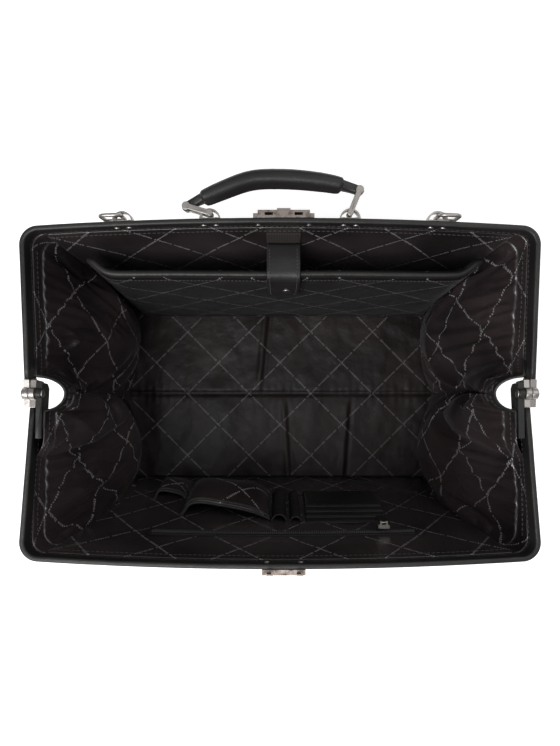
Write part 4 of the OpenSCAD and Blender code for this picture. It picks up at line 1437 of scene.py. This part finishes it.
@dataclass
class Organiser:
    """Zip, card holder, pen loops and slack pockets on the front wall."""

    zip_s: float = 214 * MM
    zip_x: tuple[float, float] = (-128 * MM, 134 * MM)
    lining: float = 3.2 * MM

    def at(self, x: float, n: float, s: float) -> Vector:
        """Map the front wall's axes to the bag's."""
        return SHAPE.wall(Side.FRONT, x, n, s)

    def slab(
        self, name: str, low: Sequence[float], high: Sequence[float], finish: Finish, edge: float
    ) -> bpy.types.Object:
        """Make one rounded slab on the wall and dress it."""
        piece = block(name, tuple(low), tuple(high), lambda p: self.at(*p), edge, 6 * MM)
        return dress(piece, finish, Ride("front_wall"))

    def build(self) -> None:
        """Make the organiser."""
        self.zip()
        self.cards()
        self.pens()
        pockets = (
            ("phone_pocket", -110, -10, 60, (166, 174), 23, 15),
            ("small_pocket", -150, -112, 26, (106, 100), 12, 9),
        )
        for node, x0, x1, s0, tops, sag, gape in pockets:
            mouth = (tops[0] * MM, tops[1] * MM)
            self.slack(node + "_cloth", node, x0 * MM, x1 * MM, s0 * MM, mouth, sag * MM, gape * MM)

    def zip(self) -> None:
        """Make the zip's tapes, teeth and puller."""
        x0, x1 = self.zip_x
        n = self.lining

        def lens(p: Vector) -> Vector:
            """Narrow the tape to a lens shape at its ends."""
            share = (p.x - x0 + 6 * MM) / (x1 - x0 + 12 * MM)
            width = min(1.0, (max(0.0, min(share, 1 - share)) / 0.02) ** 0.5 + 0.15)
            return self.at(p.x, p.y, self.zip_s + (p.z - self.zip_s) * width)

        low, high = (x0 - 6 * MM, n - 0.4 * MM, self.zip_s - 7 * MM), (x1 + 6 * MM, n + 0.8 * MM, self.zip_s + 7 * MM)
        dress(block("zip_tapes", low, high, lens, 0.4 * MM, 4 * MM), Finish.TAPE, Ride("front_wall"), ["zip_tape"])
        rows = []
        for k in (-1, 1):
            rows.append([self.at(x, n + 1.3 * MM, self.zip_s + k * 1.1 * MM) for x in steps(x0, x1, 40)])
        teeth = ROWS.row("zip_tooth_rows", rows, Finish.TEETH, 2.1 * MM, 1.2 * MM, 1.15 * MM)
        dress(teeth, Finish.TEETH, Ride("front_wall"), ["zip_teeth"], smooth=False)
        edges = []
        along = steps(x0 + 2 * MM, x1 - 2 * MM, 60)
        for k in (-1, 1):
            edges.append([self.at(x, n + 1.1 * MM, self.zip_s + k * 6.2 * MM) for x in along])
        stitches("zip_stitch", edges, Ride("front_wall"), 3.2 * MM, 0.28 * MM)
        eye = joint_place("zip_pull_lift")
        axis = Vector((0, -math.sin(SHAPE.lean), math.cos(SHAPE.lean)))
        normal = Vector((0, math.cos(SHAPE.lean), math.sin(SHAPE.lean)))

        def pull(p: Vector) -> Vector:
            """Map the puller's own axes to the bag's."""
            neck = 0.55 + 0.45 * ease((p.z - 5 * MM) / (6 * MM))
            tip = 1 - 0.25 * ease((p.z - 18 * MM) / (4 * MM))
            return eye + Vector((p.x * neck * tip, 0, 0)) - axis * p.z + normal * (p.y - 0.6 * MM)

        low, high = (-5.5 * MM, -1.2 * MM, 1.6 * MM), (5.5 * MM, 1.2 * MM, 22 * MM)
        tab = block("zip_pull_tab", low, high, pull, 0.8 * MM, 2 * MM)
        dress(tab, Finish.TRIM, Ride("zip_puller"), ["zip_puller"])

    def cards(self) -> None:
        """Make the stepped card holder."""
        x0, x1, s0, s1 = 27.5 * MM, 115 * MM, 81 * MM, 183 * MM
        layers, rows = [], []
        for k in range(4):
            n = self.lining + k * 1.15 * MM
            top = s1 - k * 14.6 * MM
            low, high = (x0 + k * 0.3 * MM, n - 0.5 * MM, s0), (x1 - k * 0.3 * MM, n + 1.15 * MM, top)
            layers.append(block(f"card_{k}", low, high, lambda p: self.at(*p), 0.45 * MM, 6 * MM))
            rows.append([self.at(x, n + 1.3 * MM, top - 2.6 * MM) for x in steps(x0 + 3 * MM, x1 - 3 * MM, 24)])
        n = self.lining + 4.7 * MM
        for x in (x0 + 2.4 * MM, x1 - 2.4 * MM):
            rows.append([self.at(x, n, s) for s in steps(s0 + 2 * MM, s1 - 48 * MM, 16)])
        dress(joined("card_slots", layers), Finish.TRIM, Ride("front_wall"), ["card_holder"])
        stitches("card_stitch", rows, Ride("front_wall"), 3.0 * MM, 0.28 * MM)

    def pens(self) -> None:
        """Make the two open pen loops."""
        loops, welts = [], []
        for centre, r in ((-1 * MM, 8 * MM), (16.5 * MM, 6 * MM)):
            def point(a: float, s: float, c: float = centre, r: float = r) -> Vector:
                """Return a point of the loop at turn a and height s."""
                return self.at(c + r * math.cos(a), self.lining - 0.4 * MM + r * 1.15 * math.sin(a), s)

            turns = steps(math.pi, 0, 18)
            loops.append(surface(f"loop_{r}", point, turns, steps(84 * MM, 180 * MM, 16), None, 1.1 * MM, True))
            welts.append(tube(f"rim_{r}", [point(a, 180 * MM) for a in turns], 0.9 * MM, 8))
        dress(joined("pen_loop_leather", loops), Finish.TRIM, Ride("front_wall"), ["pen_loops"])
        dress(joined("pen_loop_rims", welts), Finish.TRIM, Ride("front_wall"))

    def slack(
        self, name: str, node: str, x0: float, x1: float, s0: float, tops: tuple[float, float], sag: float, gape: float
    ) -> None:
        """Make a slack satin pocket with a double-piped mouth.

        Args:
            name: Name of the piece.
            node: CAD node that it stands for.
            x0: Its left end.
            x1: Its right end.
            s0: Height of its foot along the wall.
            tops: Height of its mouth at each end.
            sag: How far its belly hangs off the wall.
            gape: How far its mouth stands off the wall near its left end.
        """

        def point(x: float, t: float) -> Vector:
            """Return a point of the pocket's panel at x and share t up."""
            share = (x - x0) / (x1 - x0)
            belly = max(0.0, 1 - abs(2 * share - 1) ** 5)
            s = lerp(s0, lerp(tops[0], tops[1], share) - 4 * MM * math.sin(math.pi * share), t)
            mouth = gape * (1 - share) * ease(share / 0.12) + 1.5 * MM
            crumple = 1.6 * MM * ruffle(x * 55, t * 3, 5) + 0.8 * MM * ruffle(x * 130, t * 5, 9)
            n = sag * math.sin(math.pi * min(1.0, t * 0.97)) ** 0.8 + mouth * ease(t) + crumple * math.sin(math.pi * t)
            return self.at(x, self.lining + 0.8 * MM + n * belly, s)

        xs = steps(x0, x1, 44)
        panel = surface(name, point, xs, steps(0, 1, 30), lambda x, t: (x, t * 0.11), 0.9 * MM, True)
        dress(panel, Finish.SATIN, Ride("front_wall"), [node])
        1.3 * (x1 - x0)
        1.1 * (tops[0] - s0)
        welts = [tube(f"welt_{k}", [point(x, 1 - 0.045 * k) for x in xs], 1.5 * MM, 8) for k in range(2)]
        dress(joined(name + "_mouth", welts), Finish.TRIM, Ride("front_wall"))


# ------------------------------------------------------------------- the handle


@dataclass
class Handle:
    """The curved leather grip with its seam, and the tabs that lead to the pins."""

    rise: float = 17 * MM
    grip_length: float = 130 * MM
    middle: tuple[float, float] = (14.6 * MM, 21 * MM)
    end: tuple[float, float] = (10.6 * MM, 17 * MM)
    skew: float = 1.9 * MM

    def __post_init__(self) -> None:
        """Set up the grip's arc between its two pins."""
        self.left, self.right = joint_place("left_shackle_turn"), joint_place("handle_tilt")
        chord = self.right - self.left
        self.along = chord.normalized()
        self.out = SHAPE.up.cross(self.along).normalized()
        half = chord.length / 2
        self.radius = (half**2 + self.rise**2) / (2 * self.rise)
        self.centre = (self.left + self.right) / 2 + self.out * (self.rise - self.radius)
        self.span = math.asin(half / self.radius)

    def spot(self, angle: float, off: float, side: float) -> Vector:
        """Return a point at an angle on the arc, off it outwards and to the side."""
        way = self.along * math.sin(angle) + self.out * math.cos(angle)
        return self.centre + way * (self.radius + off) + SHAPE.up * side

    def ring(self, angle: float, thick: float, wide: float, power: float, ridge: float) -> list[Vector]:
        """Return one section of the grip, with a seam ridge on its underside."""
        share = angle / self.span
        lift = self.skew * (hump(share, -0.22, 0.25) - 0.35 * hump(share, 0.45, 0.25))
        ring = []
        for k in range(40):
            a = 2 * math.pi * k / 40
            c, s = math.cos(a), math.sin(a)
            off = math.copysign(abs(c) ** power, c) * thick / 2
            side = math.copysign(abs(s) ** power, s) * wide / 2
            off += lift - ridge * hump(a, math.pi, 0.16)
            ring.append(self.spot(angle, off, side))
        return ring

    def build(self) -> None:
        """Make the grip, the tabs and the stitching."""
        half = self.grip_length / 2 / self.radius
        rings = []
        for k in range(73):
            share = 2 * k / 72 - 1
            full = max(0.0, 1 - abs(share) ** 2.4) ** 0.5
            cap = min(1.0, max(0.0, 1 - abs(share)) / 0.05 + 0.001) ** 0.5
            thick = lerp(self.end[0], self.middle[0], full) * cap
            wide = lerp(self.end[1], self.middle[1], full) * lerp(0.55, 1.0, cap)
            crease = 0.25 * MM * ruffle(share * 16, 1.0, 4)
            rings.append(self.ring(share * half, thick + crease, wide, 0.82, 2.2 * MM * min(1.0, cap * full * 2)))
        grip = loft("grip_leather", rings)
        dress(grip, Finish.HIDE, Ride("handle"), ["handle_grip"])
        rows = []
        for hand in (-1, 1):
            row = []
            for a in steps(-half * 0.8, half * 0.8, 50):
                row.append(self.ring(a, self.middle[0] + 0.8 * MM, 8 * MM, 0.82, 0)[20 + hand * 6])
            rows.append(row)
        stitches("grip_stitch", rows, Ride("handle"), 3.6 * MM)
        tabs = []
        for hand in (-1, 1):
            start, stop = hand * half * 0.95, hand * (self.span + 4 * MM / self.radius)
            sections = []
            for k in range(25):
                share = k / 24
                tip = max(0.03, 1 - max(0.0, (share - 0.72) / 0.28) ** 2) ** 0.5
                thick, wide = lerp(8.6, 7.6, share) * MM * tip, lerp(13, 8.9, ease(share * 2)) * MM
                sections.append(self.ring(lerp(start, stop, share), thick, wide, 0.6, 0))
            tabs.append(loft(f"tab_{hand}", sections))
        dress(joined("handle_tab_leather", tabs), Finish.TRIM, Ride("handle"), ["handle_tabs"])


# ------------------------------------------------------------ rings and rivets


@dataclass
class Hardware:
    """Round-wire strap rings, domed rivet heads, and the CAD metalwork's finish."""

    ring_reach: float = 18 * MM
    ring_height: float = 22.5 * MM
    wire: float = 1.75 * MM

    def build(self) -> None:
        """Make and dress the hardware."""
        for hand, word in ((-1, "left"), (1, "right")):
            self.ring(word, hand)
        self.rivet_heads()
        self.lock_marks()
        self.cad_finishes()

    def ring(self, word: str, hand: int) -> None:
        """Make one strap ring of round wire."""
        start = joint_place(f"{word}_ring_turn")
        slope = -2 * SHAPE.bow * start.x / (SHAPE.half - SHAPE.corner) ** 2
        turn = math.atan(slope)
        out = Vector((0, math.cos(SHAPE.tilt), math.sin(SHAPE.tilt)))
        across = (Vector((1, 0, 0)) * math.cos(turn) + out * math.sin(turn)) * hand
        path = []
        for a, b in rounded_ring(self.ring_reach, self.ring_height, 5 * MM, 6):
            path.append(start + across * (a + self.ring_reach / 2) + SHAPE.up * b)
        piece = tube(f"{word}_ring_wire", path, self.wire, 12, True)
        dress(piece, Finish.NICKEL, Ride(f"strap_ring_{word}"), [f"strap_ring_{word}"])

    def rivet_heads(self) -> None:
        """Put domed heads on the frame's rivets and the hinge rivets."""
        mid = -SHAPE.drop - SHAPE.height / 2
        heads = []
        for x in (61.6 * MM, 138.4 * MM):
            for hand in (-1, 1):
                for step in (-5.45 * MM, 5.45 * MM):
                    px = hand * x + step
                    u = SHAPE.face(px) - SHAPE.thick - 0.2 * MM
                    spot = SHAPE.band(Side.BACK, px, u, mid)
                    inward = SHAPE.band(Side.BACK, px, u - 1 * MM, mid) - spot
                    heads.append(lathe("head", spot, inward, dome(2.9 * MM, 1.5 * MM, 0.3 * MM)))
                    outer = SHAPE.band(Side.BACK, px, SHAPE.face(px) + 1.5 * MM, mid)
                    heads.append(lathe("tail", outer, -inward, dome(2.4 * MM, 0.9 * MM, 0.2 * MM)))
        dress(joined("loop_rivet_heads", heads), Finish.NICKEL, Ride("back_frame"), ["loop_rivets"])
        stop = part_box("hinge_rivets")[1].x - 1.3 * MM
        leaf = abs(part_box("hinge_leaves")[1].x) - 5.6 * MM
        heads = []
        outer = ((0, 0), (3.7, 0), (3.7, 0.7), (3.2, 1.1), (1.4, 1.2), (1.1, 0.9), (0, 0.9))
        inner = ((0, 0), (3.6, 0), (3.7, 0.7), (3.0, 1.3), (1.5, 1.5), (1.1, 1.1), (0, 1.0))
        for hand in (-1, 1):
            for name, x, way, outline in (("outer", stop, hand, outer), ("inner", leaf, -hand, inner)):
                metres = [(r * MM, h * MM) for r, h in outline]
                heads.append(lathe(name, Vector((hand * x, 0, SHAPE.pivot)), Vector((way, 0, 0)), metres))
        dress(joined("hinge_rivet_heads", heads), Finish.NICKEL, Ride("back_frame"), ["hinge_rivets"])

    def lock_marks(self) -> None:
        """Add five short raised ribs to the lock's button."""
        low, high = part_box("lock_button")
        centre = (low + high) / 2
        spot = Vector((centre.x, high.y, centre.z))
        out = Vector((0, math.cos(SHAPE.tilt), math.sin(SHAPE.tilt)))
        ribs = []
        for k in range(-2, 3):
            middle = spot + Vector((k * 2 * MM, 0, 0)) - out * 0.55 * MM
            ends = [middle - SHAPE.up * 3 * MM, middle + SHAPE.up * 3 * MM]
            ribs.append(tube(f"rib_{k}", ends, 0.45 * MM, 8))
        dress(joined("lock_button_ribs", ribs), Finish.NICKEL, Ride("lock_bolt"))

    def cad_finishes(self) -> None:
        """Give each CAD node that still shows its finish and softened edges."""
        by_slot = {f.value.slot: f for f in reversed(Finish) if f is not Finish.THREAD}
        for row in frame["record"]["subparts"]:
            node = frame["nodes"][row["node"]]
            finish = by_slot[row["material_slot"]]
            node.data.materials.clear()
            node.data.materials.append(finish.material())
            if node.hide_render:
                continue
            weld = node.modifiers.new("weld", "WELD")
            weld.merge_threshold = 0.02 * MM
            soft = node.modifiers.new("edges", "BEVEL")
            soft.width = 0.35 * MM
            soft.segments = 2
            soft.limit_method = "ANGLE"
            soft.angle_limit = math.radians(50)
            soft.use_clamp_overlap = True


# ---------------------------------------------------------------------- studio


@dataclass
class Studio:
    """Pale floor, soft lights and the camera over the open mouth."""

    distance: float = 0.517
    lens: float = 28.0
    shift: float = 0.0275

    def build(self) -> None:
        """Make the studio."""
        self.ground()
        self.sky()
        self.light("key", (-0.55, -0.85, 1.65), 1.4, 30)
        self.light("fill", (0.9, 0.7, 1.6), 1.4, 7)
        self.camera()

    def ground(self) -> None:
        """Lay the floor."""
        mesh = bpy.data.meshes.new("studio_floor")
        r = 4.0
        mesh.from_pydata([(-r, -r, 0), (r, -r, 0), (r, r, 0), (-r, r, 0)], [], [(0, 1, 2, 3)])
        floor = new_object("studio_floor", mesh)
        s = Shader("studio_floor", 0.95)
        s.colour(rgb(0.93, 0.93, 0.93))
        s.feed(s.bsdf.inputs["Emission Color"], rgb(1.0, 1.0, 1.0))
        s.feed(s.bsdf.inputs["Emission Strength"], 0.6)
        floor.data.materials.append(s.material)

    def sky(self) -> None:
        """Set an even white surround."""
        world = bpy.data.worlds.new("studio")
        world.use_nodes = True
        world.node_tree.nodes["Background"].inputs["Color"].default_value = (1, 1, 1, 1)
        world.node_tree.nodes["Background"].inputs["Strength"].default_value = 0.32
        bpy.context.scene.world = world
        bpy.context.scene.view_settings.view_transform = "Standard"

    def light(self, name: str, spot: tuple[float, float, float], size: float, power: float) -> None:
        """Hang one square soft light that points at the bag."""
        data = bpy.data.lights.new(name, "AREA")
        data.size = size
        data.energy = power
        lamp = bpy.data.objects.new(name, data)
        lamp.location = spot
        way = Vector((0, 0, 0.15)) - Vector(spot)
        lamp.rotation_euler = way.to_track_quat("-Z", "Y").to_euler()
        bpy.context.scene.collection.objects.link(lamp)

    def camera(self) -> None:
        """Set the camera straight over the mouth."""
        data = bpy.data.cameras.new("camera")
        data.lens = self.lens
        data.sensor_width = 36
        data.shift_y = self.shift
        data.clip_start = 0.05
        data.clip_end = 20
        eye = bpy.data.objects.new("camera", data)
        eye.location = (0, 0, SHAPE.pivot + self.distance)
        bpy.context.scene.collection.objects.link(eye)
        bpy.context.scene.camera = eye


def main() -> None:
    """Build the bag in order."""
    logging.basicConfig(level=logging.INFO, format="%(name)s: %(message)s")
    Body().build()
    for side in Side:
        FrameHalf(side).build()
    LaptopPocket().build()
    Organiser().build()
    Handle().build()
    Hardware().build()
    Studio().build()


if __name__ == "__main__":
    main()
